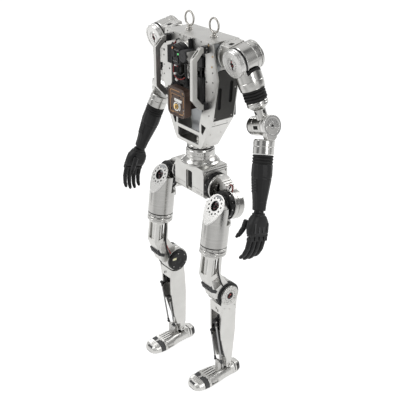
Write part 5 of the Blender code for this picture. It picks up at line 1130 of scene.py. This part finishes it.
def rod_piece(pin, foot, x0, x1, r_eye, key, body, node):
    p, f = Vector(pin), Vector(foot)
    p.x = f.x = (x0 + x1) / 2
    u = (f - p).normalized()
    v = X.cross(u)
    L = (f - p).length
    h = (x1 - x0) / 2
    eyes = union(lathe([(0, x0), (r_eye, x0), (r_eye, x1), (0, x1)], (0, p.y, p.z), X, 36), obox(p + u * 0.009, u, v, X, 0.009, 0.0030, h * 0.85))
    union(eyes, lathe([(0, x0), (r_eye * 0.85, x0), (r_eye * 0.85, x1), (0, x1)], (0, f.y, f.z), X, 36), obox(f - u * 0.008, u, v, X, 0.008, 0.0030, h * 0.85)) if False else None
    cut(eyes, cyl((0, p.y, p.z), X, 0.0031, x0 - 0.01, x1 + 0.01, 24))
    low = union(lathe([(0, x0), (r_eye * 0.85, x0), (r_eye * 0.85, x1), (0, x1)], (0, f.y, f.z), X, 36), obox(f - u * 0.008, u, v, X, 0.008, 0.0030, h * 0.85))
    both(join(eyes, low), key + "_ends", body, "charcoal", node, "black_plastic", bevel=0.0005)
    shaft = lathe([(0, 0.015), (0.0024, 0.015), (0.0030, 0.018), (0.0030, L - 0.018), (0.0024, L - 0.014), (0, L - 0.014)], p, u, 28)
    both(shaft, key + "_shaft", body, turned(u, (0.30, 0.30, 0.30), 0.36, "rod"), slot="black_plastic", mat_r=turned(mx(u), (0.30, 0.30, 0.30), 0.36, "rod"), bevel=0.0002)
    nuts = join(lathe([(0.0, 0.0), (0.0036, 0.0), (0.0036, 0.0040), (0.0, 0.0040)], p + u * 0.0190, u, 6), lathe([(0.0, 0.0), (0.0036, 0.0), (0.0036, 0.0040), (0.0, 0.0040)], p + u * (L - 0.0230), u, 6))
    both(nuts, key + "_nuts", body, "steel", slot="black_plastic", bevel=0.0003)


def ankles():
    crank_piece(CRANK_A, PIN_A, 0.1510, 0.1590, 0.0150, 0.0060, 0.1665, "upper_crank", "upper_crank", "ankle_crank_upper")
    crank_piece(CRANK_B, PIN_B, 0.1310, 0.1380, 0.0150, 0.0060, 0.1245, "lower_crank", "lower_crank", "ankle_crank_lower")
    rod_piece(PIN_A, FOOT_A, 0.1596, 0.1664, 0.0055, "upper_rod", "upper_rod", "push_rod_upper")
    rod_piece(PIN_B, FOOT_B, 0.1246, 0.1304, 0.0055, "lower_rod", "lower_rod", "push_rod_lower")
    B = "ankle"
    blk = box(0.1264, 0.1536, -0.0105, 0.0105, 0.0612, 0.0788)
    cut(blk, ring((0, ANKLE.y, ANKLE.z), X, 0.0058, 0.0066, 0.10, 0.1270, 36), ring((0, ANKLE.y, ANKLE.z), X, 0.0058, 0.0066, 0.1530, 0.17, 36))
    cut(blk, cyl((ANKLE.x, 0, 0.0), Z, 0.0028, 0.0760, 0.09, 24))
    both(blk, "ankle_cross_block", B, "bright", "ankle_cross", "satin_aluminium", bevel=0.0018, seg=3)
    pins = join(lathe([(0, 0.1186), (0.0044, 0.1186), (0.0050, 0.1192), (0.0050, 0.1608), (0.0044, 0.1614), (0.0020, 0.1614), (0.0018, 0.1606), (0, 0.1606)], (0, ANKLE.y, ANKLE.z), X, 32), lathe([(0, -0.0199), (0.0044, -0.0199), (0.0050, -0.0193), (0.0050, 0.0193), (0.0044, 0.0199), (0, 0.0199)], (ANKLE.x, 0, ANKLE.z), Y, 32))
    both(pins, "ankle_cross_pins", B, "steel", slot="satin_aluminium", bevel=0.0002)


def feet():
    B = "foot_body"
    FX = 0.1350
    base = [(-0.1480, 0.000, 0.0150, 0.0130), (-0.1440, 0.000, 0.0250, 0.0200), (-0.1340, 0.000, 0.0345, 0.0255), (-0.1150, 0.000, 0.0400, 0.0300),
            (-0.0880, 0.000, 0.0410, 0.0330), (-0.0500, 0.001, 0.0360, 0.0360), (-0.0260, 0.002, 0.0310, 0.0350), (-0.0130, 0.002, 0.0290, 0.0330),
            (0.0150, 0.002, 0.0270, 0.0330), (0.0280, 0.002, 0.0275, 0.0380), (0.0440, 0.002, 0.0265, 0.0390), (0.0560, 0.002, 0.0210, 0.0350), (0.0620, 0.002, 0.0120, 0.0240)]
    side = ((-0.93, 0.035), (0.93, 0.035), (0.985, 0.10), (1, 0.22), (1.0, 0.38), (0.97, 0.55), (0.88, 0.76), (0.72, 0.92), (0.57, 0.985), (0.40, 1),
            (-0.40, 1), (-0.57, 0.985), (-0.72, 0.92), (-0.88, 0.76), (-0.97, 0.55), (-1.0, 0.38), (-1, 0.22), (-0.985, 0.10))

    def at(y):
        for i in range(len(base) - 1):
            a, b = base[i], base[i + 1]
            if a[0] <= y <= b[0]:
                t = (y - a[0]) / (b[0] - a[0])
                return tuple(a[j] + (b[j] - a[j]) * t for j in range(4))
        return base[0] if y < base[0][0] else base[-1]

    def shell(y0, y1, grow=0.0, n=None, lo=None):
        ys = sorted({y0, y1} | {b[0] for b in base if y0 < b[0] < y1} | {y0 + (y1 - y0) * k / 12 for k in range(1, 12)})
        secs = []
        for y in ys:
            _, dx, hw, h = at(y)
            c = FX + dx
            secs.append([(c + (hw + grow) * a, y, SOLE + (lo if (lo is not None and k == 0) else 0) + (h + grow) * k) for a, k in side])
        return loft(secs)
    parts = []
    toe = shell(-0.1478, -0.1150)
    both(toe, "toe_cap", B, "alu", "foot", "satin_aluminium", bevel=0.0012)
    band = shell(-0.1144, -0.0960, -0.0012)
    both(band, "toe_band", B, "bumper", slot="black_rubber", bevel=0.0006)
    mid = shell(-0.0954, 0.0200)
    cut(mid, *[box(FX + x - 0.0020, FX + x + 0.0020, -0.0880, -0.0440, SOLE + 0.0298, 0.08) for x in (-0.0165, -0.0055, 0.0055, 0.0165)])
    cut(mid, box(0.1150, 0.1650, -0.0112, 0.0112, 0.0530 - 0.0060, 0.12), cyl((ANKLE.x, 0, ANKLE.z), Y, 0.0056, -0.03, 0.03, 24))
    # rounded pocket on each flank
    for sgn in (1, -1):
        cut(mid, obox((FX + sgn * 0.0390, -0.0700, SOLE + 0.0135), Y, Z, X, 0.0150, 0.0062, 0.0050))
    both(mid, "instep", B, "alu", slot="satin_aluminium", bevel=0.0010)
    both(join(*[obox((FX + sgn * 0.0338, -0.0700, SOLE + 0.0135), Y, Z, X, 0.0148, 0.0060, 0.0020) for sgn in (1, -1)]), "instep_pockets", B, "alu2", slot="satin_aluminium", bevel=0.0014)
    pads = shell(-0.1450, -0.1230, 0.0004)
    keep(pads, box(FX - 0.0150, FX + 0.0110, -0.1500, -0.1370, SOLE + 0.0060, SOLE + 0.0230))
    both(pads, "toe_side_pads", B, "bumper", slot="black_rubber", bevel=0.0004)
    hp = shell(0.0400, 0.0600, 0.0004)
    keep(hp, join(box(0.08, FX - 0.0130, 0.0390, 0.0640, SOLE + 0.0080, SOLE + 0.0330), box(FX + 0.0170, 0.19, 0.0390, 0.0640, SOLE + 0.0080, SOLE + 0.0330)))
    both(hp, "heel_side_pads", B, "black", slot="black_rubber", bevel=0.0004)
    heel = shell(0.0206, 0.0618)
    cut(heel, box(0.10, 0.18, 0.0300, 0.0330, SOLE + 0.012, 0.09))
    both(heel, "heel", B, "alu", slot="satin_aluminium", bevel=0.0012)
    hs = shell(0.0302, 0.0328, -0.0010)
    both(hs, "heel_insert", B, "black", slot="black_rubber", bevel=0.0005)
    # near-black inner core: painted shade seen through the foot's gaps and grooves
    core = shell(-0.1300, 0.0560, -0.0040)
    cut(core, box(0.1150, 0.1650, -0.0112, 0.0112, 0.0470, 0.12))
    both(core, "foot_core", B, "hole", slot="black_rubber", bevel=0)
    # T-shaped lock in the middle of the band, round disc on the toe cap
    tee = join(box(FX - 0.0040, FX + 0.0040, -0.1140, -0.0930, SOLE + 0.0290, SOLE + 0.0325), box(FX - 0.0110, FX + 0.0110, -0.1000, -0.0930, SOLE + 0.0300, SOLE + 0.0332))
    both(tee, "toe_lock", B, "alu2", slot="satin_aluminium", bevel=0.0008)
    dn = Vector((0, -0.24, 0.97)).normalized()
    both(ring((FX, -0.1255, SOLE + 0.0270), dn, 0.0066, 0.0078, 0.0002, 0.0014, 36), "toe_disc_ring", B, "bright", slot="satin_aluminium", bevel=0.0003)
    both(cyl((FX, -0.1255, SOLE + 0.0270), dn, 0.0064, -0.0010, 0.0008, 32), "toe_disc", B, "alu2", slot="satin_aluminium", bevel=0.0003)
    # thin sole
    ys = [b[0] for b in base]
    hwb = lambda y: at(y)[2] * 0.90
    loopp = [(FX + at(y)[1] + hwb(y), y) for y in ys] + [(FX + at(y)[1] - hwb(y), y) for y in reversed(ys)]
    both(prism(loopp, "z", SOLE, SOLE + 0.0024), "sole_sheet", B, "black", slot="black_rubber", bevel=0.0004)
    lug = [prism([(0.1312, 0.0480), (0.1488, 0.0480), (0.1488, 0.0740), (0.1448, 0.0789), (0.1352, 0.0789), (0.1312, 0.0740)], "y", a, b) for a, b in ((-0.0189, -0.0116), (0.0116, 0.0189))]
    lugs = join(*lug)
    cut(lugs, cyl((ANKLE.x, 0, ANKLE.z), Y, 0.0055, -0.03, 0.03, 24))
    both(lugs, "ankle_lugs", B, "alu2", slot="satin_aluminium", bevel=0.0012)
    horn = prism([(-0.0418, 0.0460), (-0.0282, 0.0460), (-0.0282, 0.0900), (-0.0310, 0.0958), (-0.0390, 0.0958), (-0.0418, 0.0900)], "x", 0.1357, 0.1528)
    cut(horn, cyl((0, -0.0345, 0.0910), X, 0.0024, 0.10, 0.20, 20))
    both(horn, "rod_horn", B, "alu2", slot="satin_aluminium", bevel=0.0014)
    both(screws([(FX + 0.0255, -0.0300, SOLE + 0.0300), (FX - 0.0225, -0.0300, SOLE + 0.0300)], Z, 0.0022, 0.0014), "foot_screws", B, "screw", slot="eyebolt_steel", bevel=0)


hips()
thighs()
links()
shanks()
ankles()
feet()


# ================================================================== shoulders, arms and hands
def shoulders():
    B = "shoulder"
    base = lathe([(0, 0.1260), (0.0405, 0.1260), (0.0430, 0.1275), (0.0430, 0.1385), (0.0415, 0.1400), (0, 0.1400)], (0, SHOULDER.y, SHOULDER.z), X, 64)
    up = X.cross(SR_A).normalized()
    if up.z < 0:
        up.negate()
    c = Vector((0.1560, 0.0, 1.2015)) + up * 0.0045 - SR_A * 0.0050
    blk = obox(c, X, SR_A, up, 0.0190, 0.0300, 0.0360)
    cut(blk, obox(c + up * 0.0360 + SR_A * 0.0060 + X * 0.002, X, SR_A, up, 0.0095, 0.0080, 0.0040))
    cut(blk, slab([(-0.0075, 0.011), (0.0010, -0.009), (-0.0075, -0.009)], c + SR_A * 0.0300 - up * 0.010 - X * 0.006, X, up, SR_A, -0.0060, 0.004))
    both(base, "shoulder_pitch_disc", B, turned(X, key="spitch"), slot="satin_aluminium", bevel=0.0005)
    both(blk, "shoulder_block", B, "alu", slot="satin_aluminium", bevel=0.0022, seg=3)
    both(join(obox(c + up * 0.0325 + SR_A * 0.0060 + X * 0.002, X, SR_A, up, 0.0092, 0.0078, 0.0006), slab([(-0.0072, 0.0102), (0.0002, -0.0086), (-0.0072, -0.0086)], c + SR_A * 0.0300 - up * 0.010 - X * 0.006, X, up, SR_A, -0.0058, -0.0050)), "shoulder_block_floors", B, "hole", slot="black_plastic", bevel=0)
    both(screws([c + up * 0.0360 + SR_A * 0.022 + X * s for s in (-0.011, 0.011)] + [c + up * 0.0360 - SR_A * 0.022 + X * s for s in (-0.011, 0.011)], up, 0.0022, 0.0010), "shoulder_block_screws", B, "screw", slot="eyebolt_steel", bevel=0)
    drum = lathe([(0, -0.0350), (0.0425, -0.0350), (0.0442, -0.0340), (0.0445, -0.0200), (0.0435, -0.0192), (0.0435, -0.0178), (0.0445, -0.0170), (0.0445, 0.0180), (0.0425, 0.0200), (0.0425, 0.0255), (0, 0.0255)], SR_O, SR_A, 80)
    both(drum, "shoulder_roll_drum", B, turned(SR_A, BRUSHED, 0.22, "sroll"), "shoulder_bracket", "satin_aluminium", mat_r=turned(mx(SR_A), BRUSHED, 0.22, "sroll"), bevel=0.0005)
    both(ring(SR_O, SR_A, 0.0410, 0.0436, 0.0202, 0.0254, 72), "shoulder_seal", B, "black", slot="black_rubber", bevel=0.0005)


def upper_arms():
    B = "upper_arm_body"
    front = lathe([(0, 0.0268), (0.0430, 0.0268), (0.0440, 0.0276), (0.0440, 0.0306), (0.0426, 0.0318), (0.0426, 0.0380), (0.0418, 0.0388), (0.0418, 0.0420), (0.0426, 0.0426), (0.0426, 0.0438), (0.0412, 0.0451), (0.0350, 0.0451), (0.0346, 0.0442),
                   (0.0215, 0.0442), (0.0210, 0.0449), (0.0085, 0.0449), (0.0080, 0.0430), (0, 0.0430)], SR_O, SR_A, 80)
    cut(front, obox(SR_O + SR_A * 0.045, X, X.cross(SR_A).normalized(), SR_A, 0.0030, 0.0150, 0.0030))
    both(front, "shoulder_front_disc", B, turned(SR_A, (0.66, 0.655, 0.64), 0.30, "sfront"), slot="satin_aluminium", mat_r=turned(mx(SR_A), (0.66, 0.655, 0.64), 0.30, "sfront"), bevel=0.0004)
    marks = []
    for k, p in enumerate(circle_pts(SR_O, SR_A, 0.0180, 18, 0.0, 0.0449)):
        d = (p - SR_O - SR_A * 0.0449).normalized()
        marks.append(obox(p, d, SR_A.cross(d), SR_A, 0.0026, 0.0007, 0.0002))
    both(join(*marks), "shoulder_disc_marks", B, "charcoal", slot="satin_aluminium", bevel=0)
    both(join(cyl(SR_O, SR_A, 0.0078, 0.0425, 0.0432, 32), obox(SR_O + SR_A * 0.0425, X, X.cross(SR_A).normalized(), SR_A, 0.0028, 0.0146, 0.0006)), "shoulder_disc_slot", B, "hole", slot="black_plastic", bevel=0)
    v = X.cross(SR_A).normalized()
    both(join(obox(SR_O + SR_A * 0.0436 - v * 0.009, X, v, SR_A, 0.0016, 0.0030, 0.0008), obox(SR_O + SR_A * 0.0436 + v * 0.003, X, v, SR_A, 0.0016, 0.0020, 0.0008)), "shoulder_disc_plug", B, "red", slot="black_rubber", bevel=0.0004)
    both(screws(circle_pts(SR_O, SR_A, 0.0385, 8, 0.4, 0.0450), SR_A, 0.0019, 0.0006), "shoulder_disc_screws", B, "screw", slot="eyebolt_steel", bevel=0)
    back = lathe([(0, -0.0480), (0.0370, -0.0480), (0.0400, -0.0472), (0.0432, -0.0448), (0.0440, -0.0430), (0.0440, -0.0372), (0.0430, -0.0362), (0, -0.0362)], SR_O, SR_A, 72)
    both(back, "shoulder_back_disc", B, turned(SR_A, key="sback"), slot="satin_aluminium", mat_r=turned(mx(SR_A), key="sback"), bevel=0.0005)
    both(screws(circle_pts(SR_O, SR_A, 0.0320, 8, 0.4, -0.0480), -SR_A, 0.0020, 0.0007), "shoulder_back_screws", B, "screw", slot="eyebolt_steel", bevel=0)
    arm = lathe([(0, 0.0200), (0.0400, 0.0200), (0.0400, 0.0640), (0.0392, 0.0650), (0.0392, 0.0664), (0.0400, 0.0674), (0.0396, 0.0800), (0.0380, 0.0860), (0.0380, 0.0906), (0, 0.0906)], SR_O, ARM_D, 80)
    cut(arm, cyl(SR_O, SR_A, 0.0545, -0.0357, 0.0262, 72))
    keep_out = obox(SR_O, ARM_D.cross(SR_A).normalized(), ARM_D, SR_A, 0.08, 0.0440, 0.08) if False else None
    both(arm, "upper_arm_shell", B, turned(ARM_D, BRUSHED, 0.24, "uarm"), "upper_arm", "satin_aluminium", mat_r=turned(mx(ARM_D), BRUSHED, 0.24, "uarm"), bevel=0.0007)
    # near-black ring between the roll drum and the arm shell: painted shade in the gap
    core = lathe([(0, 0.0300), (0.0385, 0.0300), (0.0385, 0.0600), (0, 0.0600)], SR_O, ARM_D, 64)
    cut(core, cyl(SR_O, SR_A, 0.0462, -0.0600, 0.0600, 72))
    keep(core, obox(SR_O - SR_A * 0.0048, X, X.cross(SR_A).normalized(), SR_A, 0.2, 0.2, 0.0300))
    both(core, "upper_arm_gap", B, "hole", slot="black_plastic", bevel=0)
    fp = SR_O + ARM_D * 0.0740
    sc = []
    for p in circle_pts(fp, ARM_D, 0.0398, 10, 0.3):
        d = (p - fp).normalized()
        sc.append(cyl(p - d * 0.0004, d, 0.0015, 0, 0.0007, 12))
    both(join(*sc), "upper_arm_screws", B, "screw", slot="eyebolt_steel", bevel=0)


def arms():
    B = "arm"
    prof = [(0, 0.0913), (0.0345, 0.0913)]
    for k in range(4):
        s = 0.0920 + 0.0088 * k
        prof += [(0.0340, s), (0.0352, s + 0.0010), (0.0353, s + 0.0030), (0.0352, s + 0.0050), (0.0335, s + 0.0062), (0.0318, s + 0.0070), (0.0316, s + 0.0078), (0.0322, s + 0.0084)]
    prof += [(0.0324, 0.1280), (0, 0.1280)]
    both(lathe(prof, SR_O, ARM_D, 72), "arm_boot", B, "soft", "arm_bellows", "black_rubber", bevel=0.0003, angle=50)
    fork = lathe([(0, 0.1286), (0.0310, 0.1286), (0.0322, 0.1300), (0.0330, 0.1316), (0.0330, 0.1350), (0.0322, 0.1356), (0.0322, 0.1368), (0.0330, 0.1374), (0.0330, 0.1420), (0.0300, 0.1455), (0.0260, 0.1500), (0.0210, 0.1530), (0.0188, 0.1560), (0.0182, 0.1700), (0.0178, 0.2000), (0, 0.2000)], SR_O, ARM_D, 72)
    both(fork, "elbow_neck", B, turned(ARM_D, BRUSHED, 0.24, "neck"), slot="satin_aluminium", mat_r=turned(mx(ARM_D), BRUSHED, 0.24, "neck"), bevel=0.0005)
    u, v, a = frame_of(ARM_D)
    both(join(*[obox(SR_O + ARM_D * 0.1640 + d * 0.0180, d, ARM_D, ARM_D.cross(d), 0.0008, 0.0050, 0.0030) for d in ((-Y + ARM_D * ARM_D.y).normalized(), (X - ARM_D * ARM_D.x).normalized())]), "elbow_neck_slots", B, "hole", slot="black_plastic", bevel=0.0003)
    bar = lathe([(0, -0.0470), (0.0300, -0.0470), (0.0305, -0.0462), (0.0305, -0.0300), (0.0298, -0.0294), (0.0298, -0.0282), (0.0305, -0.0276), (0.0305, 0.0120), (0.0297, 0.0128), (0.0297, 0.0182), (0.0290, 0.0190), (0, 0.0190)], ELBOW, ELBOW_A, 80)
    rad = -Y + ELBOW_A * ELBOW_A.y
    rad.normalize()
    cut(bar, obox(ELBOW + rad * 0.0300 - ELBOW_A * 0.0080, rad, ELBOW_A, rad.cross(ELBOW_A), 0.0050, 0.0105, 0.0055))
    both(bar, "elbow_drum", B, turned(ELBOW_A, BRUSHED, 0.24, "elbow"), "elbow_barrel", "satin_aluminium", mat_r=turned(mx(ELBOW_A), BRUSHED, 0.24, "elbow"), bevel=0.0004)
    both(obox(ELBOW + rad * 0.0262 - ELBOW_A * 0.0080, rad, ELBOW_A, rad.cross(ELBOW_A), 0.0012, 0.0103, 0.0053), "elbow_window_floor", B, "hole", slot="black_plastic", bevel=0)
    cap = lathe([(0, -0.0560), (0.0220, -0.0560), (0.0270, -0.0552), (0.0288, -0.0538), (0.0300, -0.0500), (0.0303, -0.0474), (0, -0.0474)], ELBOW, ELBOW_A, 64)
    both(cap, "elbow_cap", B, "black", slot="black_plastic", bevel=0.0006)
    sc = []
    for p in circle_pts(ELBOW, ELBOW_A, 0.0305, 10, 0.3, -0.0390):
        d = (p - ELBOW + ELBOW_A * 0.0390).normalized()
        sc.append(cyl(p - d * 0.0006, d, 0.0015, 0, 0.0009, 12))
    both(join(*sc), "elbow_screws", B, "screw", slot="eyebolt_steel", bevel=0)

    B = "forearm_base"
    au = FORE_O - ELBOW
    au = (au - ELBOW_A * au.dot(ELBOW_A)).normalized()
    dsc = lathe([(0, 0.0196), (0.0325, 0.0196), (0.0335, 0.0204), (0.0335, 0.0300), (0.0328, 0.0306), (0.0328, 0.0318), (0.0335, 0.0324), (0.0335, 0.0362), (0.0322, 0.0380), (0.0260, 0.0380), (0.0255, 0.0370), (0.0120, 0.0370), (0.0115, 0.0378), (0.0050, 0.0378), (0.0045, 0.0362), (0, 0.0362)], ELBOW, ELBOW_A, 72)
    both(dsc, "elbow_outer_disc", B, turned(ELBOW_A, (0.66, 0.655, 0.64), 0.30, "edisc"), slot="satin_aluminium", mat_r=turned(mx(ELBOW_A), (0.66, 0.655, 0.64), 0.30, "edisc"), bevel=0.0004)
    marks = []
    for p in circle_pts(ELBOW, ELBOW_A, 0.0190, 14, 0.0, 0.0369):
        d = (p - ELBOW - ELBOW_A * 0.0369).normalized()
        marks.append(obox(p, d, ELBOW_A.cross(d), ELBOW_A, 0.0020, 0.0006, 0.0002))
    both(join(*marks), "elbow_disc_marks", B, "charcoal", slot="satin_aluminium", bevel=0)
    both(cyl(ELBOW, ELBOW_A, 0.0044, 0.0363, 0.0367, 24), "elbow_disc_bore", B, "hole", slot="black_plastic", bevel=0)
    pl = slab([(-0.0205, -0.0238), (-0.0040, -0.0238), (0.0110, -0.0205), (0.0205, -0.0140), (0.0205, 0.0140), (0.0110, 0.0205), (-0.0040, 0.0238), (-0.0205, 0.0238)], ELBOW + ELBOW_A * 0.0287 + au * 0.0230, au, ELBOW_A.cross(au).normalized(), ELBOW_A, -0.0090, 0.0090)
    both(pl, "elbow_outer_plate", B, "alu", slot="satin_aluminium", bevel=0.0030, seg=3)
    fb = lathe([(0, 0.0), (0.0285, 0.0), (0.0312, 0.0012), (0.0325, 0.0036), (0.0325, 0.0200), (0.0316, 0.0206), (0.0316, 0.0220), (0.0325, 0.0226), (0.0325, 0.0430), (0.0315, 0.0446), (0, 0.0446)], FORE_O, FORE_D, 72)
    both(fb, "forearm_drum", B, turned(FORE_D, BRUSHED, 0.25, "fore"), "forearm_barrel", "satin_aluminium", mat_r=turned(mx(FORE_D), BRUSHED, 0.25, "fore"), bevel=0.0005)
    sc = []
    for p in circle_pts(FORE_O, FORE_D, 0.0325, 10, 0.3, 0.0120):
        d = (p - FORE_O - FORE_D * 0.0120).normalized()
        sc.append(cyl(p - d * 0.0006, d, 0.0016, 0, 0.0009, 12))
    both(join(*sc), "forearm_drum_screws", B, "screw", slot="eyebolt_steel", bevel=0)


def hands():
    B = "forearm_body"
    fu, fv, fa = frame_of(FORE_D)
    prof = [(0, 0.0466), (0.0300, 0.0466)]
    for k in range(3):
        s = 0.0470 + 0.0088 * k
        prof += [(0.0308, s), (0.0320, s + 0.0014), (0.0321, s + 0.0044), (0.0306, s + 0.0058), (0.0296, s + 0.0068), (0.0297, s + 0.0080)]
    prof += [(0.0308, 0.0740), (0, 0.0740)]
    both(lathe(prof, FORE_O, FORE_D, 64), "forearm_cuff", B, "soft", slot="black_rubber", bevel=0.0003, angle=50)

    def shell(s, r1, r2, n=14):
        return [FORE_O + fa * s + fu * (r1 * math.cos(2 * math.pi * (k + 0.5) / n)) + fv * (r2 * math.sin(2 * math.pi * (k + 0.5) / n)) for k in range(n)]
    secs = [shell(*t) for t in ((0.0736, 0.0312, 0.0308), (0.0756, 0.0325, 0.0320), (0.1050, 0.0345, 0.0310), (0.1130, 0.0338, 0.0303), (0.1150, 0.0326, 0.0291), (0.1166, 0.0326, 0.0290), (0.1186, 0.0332, 0.0297),
                                (0.1500, 0.0290, 0.0260), (0.1840, 0.0248, 0.0213), (0.1860, 0.0240, 0.0206), (0.1880, 0.0240, 0.0206), (0.1900, 0.0244, 0.0208), (0.1950, 0.0235, 0.0200), (0.2130, 0.0226, 0.0191), (0.2150, 0.0216, 0.0182))]
    both(loft(secs), "forearm_shell", B, "hand", "forearm", "hand_plastic", bevel=0.0012, angle=14, flat=False)
    ribs = []
    for k in range(5):
        s = 0.1240 + 0.0085 * k
        ribs.append(obox(FORE_O + fa * s - fv * (0.0292 - 0.0009 * k) * 0.985, fa, fu, fv, 0.0022, 0.0120, 0.0008))
    both(join(*ribs), "forearm_vents", B, "black", slot="black_plastic", bevel=0.0004)
    both(screws([FORE_O + fa * 0.0900 + fu * (0.0320 * math.cos(t)) + fv * (0.0303 * math.sin(t)) for t in (0.3, 1.8)], fu, 0.0001, 0.0001), "forearm_pips", B, "charcoal", slot="black_plastic", bevel=0) if False else None

    B = "hand"
    ball = []
    for k in range(19):
        t = math.radians(-90 + 10 * k)
        r = 0.0150 - (0.0010 if k % 3 == 0 else 0.0)
        ball.append((max(0.0, r * math.cos(t)) if 0 < k < 18 else 0, r * math.sin(t)))
    both(lathe(ball, WRIST, HAND_W, 40), "wrist_ball", B, "black", slot="black_plastic", bevel=0)
    kn = slab([(-0.0365, -0.0110), (0.0365, -0.0110), (0.0355, 0.0080), (-0.0355, 0.0080)], WRIST + HAND_D * 0.0716, HAND_W, HAND_N, HAND_D, -0.0045, 0.0036)
    kn2 = [obox(KNUCKLE + HAND_W * o - HAND_N * 0.0088 - HAND_D * 0.0040, HAND_D, HAND_W, HAND_N, 0.0090, 0.0070, 0.0016) for o in (-0.0285, -0.0095, 0.0095, 0.0285)]
    both(join(kn, *kn2), "knuckle_guard", B, "black", slot="hand_plastic", bevel=0.0010)
    secs = []
    for s, hw, ht in ((0.0036, 0.0196, 0.0156), (0.0060, 0.0200, 0.0160), (0.0100, 0.0198, 0.0160), (0.0120, 0.0238, 0.0180), (0.0150, 0.0262, 0.0192), (0.0300, 0.0358, 0.0200), (0.0420, 0.0386, 0.0196), (0.0550, 0.0398, 0.0180), (0.0660, 0.0394, 0.0162), (0.0698, 0.0380, 0.0142)):
        secs.append([WRIST + HAND_D * s + HAND_W * (hw * math.copysign(abs(math.cos(t)) ** 0.7, math.cos(t))) + HAND_N * (ht * math.copysign(abs(math.sin(t)) ** 0.7, math.sin(t)))
                     for t in [2 * math.pi * (k + 0.5) / 28 for k in range(28)]])
    both(loft(secs), "palm_shell", B, "hand", "palm", "hand_plastic", bevel=0.0010, angle=35)
    tend = [obox(WRIST + HAND_D * 0.048 + HAND_W * o - HAND_N * 0.0182, HAND_D, HAND_W, HAND_N, 0.0150, 0.0028, 0.0010) for o in (-0.0260, -0.0088, 0.0088, 0.0260)]
    both(join(*tend), "palm_back_ribs", B, "charcoal", slot="hand_plastic", bevel=0.0008)
    pad = obox(WRIST + HAND_D * 0.040 + HAND_N * 0.0190, HAND_D, HAND_W, HAND_N, 0.0200, 0.0220, 0.0010)
    both(pad, "palm_pad", B, "soft", slot="black_rubber", bevel=0.0010)

    B = "finger_set"
    links_, tips = [], []
    for off, scale in ((-0.0285, 0.86), (-0.0095, 0.97), (0.0095, 1.0), (0.0285, 0.93)):
        here, ang = KNUCKLE + HAND_W * off, 14.0
        radii = ((0.0083, 0.0079), (0.0078, 0.0071), (0.0069, 0.0040))
        for i, (seg_len, bend) in enumerate(((0.036 * scale, 0), (0.027 * scale, 20), (0.022 * scale, 22))):
            ang += bend
            d = (HAND_D * math.cos(math.radians(ang)) + HAND_N * math.sin(math.radians(ang))).normalized()
            nn = HAND_W.cross(d).normalized()
            a, b = radii[i]
            prof = [(0.0, 0.70, a * 0.70), (0.0016, 0.94, a * 0.90), (0.0050, 1.0, a), (seg_len - 0.0062, 1.0, a + (b - a) * 0.72), (seg_len - 0.0034, 0.96, b * 0.98), (seg_len - 0.0012, 0.86, b * 0.80)]
            if i == 2:
                prof = [(0.0, 0.70, a * 0.70), (0.0016, 0.94, a * 0.90), (0.0040, 1.0, a), (seg_len - 0.0090, 1.0, a * 0.90), (seg_len - 0.0036, 0.98, a * 0.72), (seg_len - 0.0008, 0.9, a * 0.42)]
            secs = [[here + d * s + HAND_W * (r * math.cos(2 * math.pi * k / 18)) + nn * (r * 0.94 * math.sin(2 * math.pi * k / 18)) for k in range(18)] for s, _, r in prof]
            (tips if i == 2 else links_).append(loft(secs))
            nxt = here + d * seg_len
            if i < 2:
                links_.append(lathe([(0, -b * 0.80), (b * 0.62, -b * 0.80), (b * 0.70, -b * 0.66), (b * 0.70, b * 0.66), (b * 0.62, b * 0.80), (0, b * 0.80)], nxt, HAND_W, 20))
            here = nxt
    both(join(*links_), "finger_links", B, "hand", "fingers", "hand_plastic", bevel=0.0004)
    both(join(*tips), "finger_tips", B, "soft", slot="black_rubber", bevel=0.0004)
    kb = lathe([(0, -0.0358), (0.0070, -0.0358), (0.0082, -0.0346), (0.0082, -0.0204), (0.0070, -0.0196), (0.0070, -0.0184), (0.0082, -0.0176), (0.0082, -0.0014), (0.0070, -0.0006), (0.0070, 0.0006), (0.0082, 0.0014), (0.0082, 0.0176), (0.0070, 0.0184), (0.0070, 0.0196), (0.0082, 0.0204), (0.0082, 0.0346), (0.0070, 0.0358), (0, 0.0358)], KNUCKLE, HAND_W, 32)
    both(kb, "knuckle_bar", B, "black", slot="black_plastic", bevel=0.0003)

    B = "thumb_body"
    links_, tips = [], []
    here, ang = THUMB.copy(), 16.0
    for i, (seg_len, r0, r1) in enumerate(((0.026, 0.0093, 0.0086), (0.024, 0.0086, 0.0076), (0.016, 0.0076, 0.0046))):
        ang += 14 if i > 0 else 0
        d = (HAND_D * math.cos(math.radians(ang)) + (HAND_N * 0.85 + HAND_W * 0.53).normalized() * math.sin(math.radians(ang))).normalized()
        nn = HAND_W.cross(d).normalized()
        ww = d.cross(nn).normalized()
        prof = [(0.0, r0 * 0.72), (0.0020, r0 * 0.94), (0.0050, r0), (seg_len - 0.0050, r1 * 1.02), (seg_len - 0.0022, r1 * 0.92), (seg_len - 0.0002, r1 * 0.70)]
        secs = [[here + d * s + ww * (r * math.cos(2 * math.pi * k / 18)) + nn * (r * math.sin(2 * math.pi * k / 18)) for k in range(18)] for s, r in prof]
        (tips if i == 2 else links_).append(loft(secs))
        here = here + d * seg_len
        if i < 2:
            links_.append(lathe([(0, -0.0062), (r1 * 0.66, -0.0062), (r1 * 0.66, 0.0062), (0, 0.0062)], here, ww, 20))
    both(join(*links_), "thumb_links", B, "hand", "thumb", "hand_plastic", bevel=0.0004)
    both(join(*tips), "thumb_tip", B, "soft", slot="black_rubber", bevel=0.0004)


shoulders()
upper_arms()
arms()
hands()
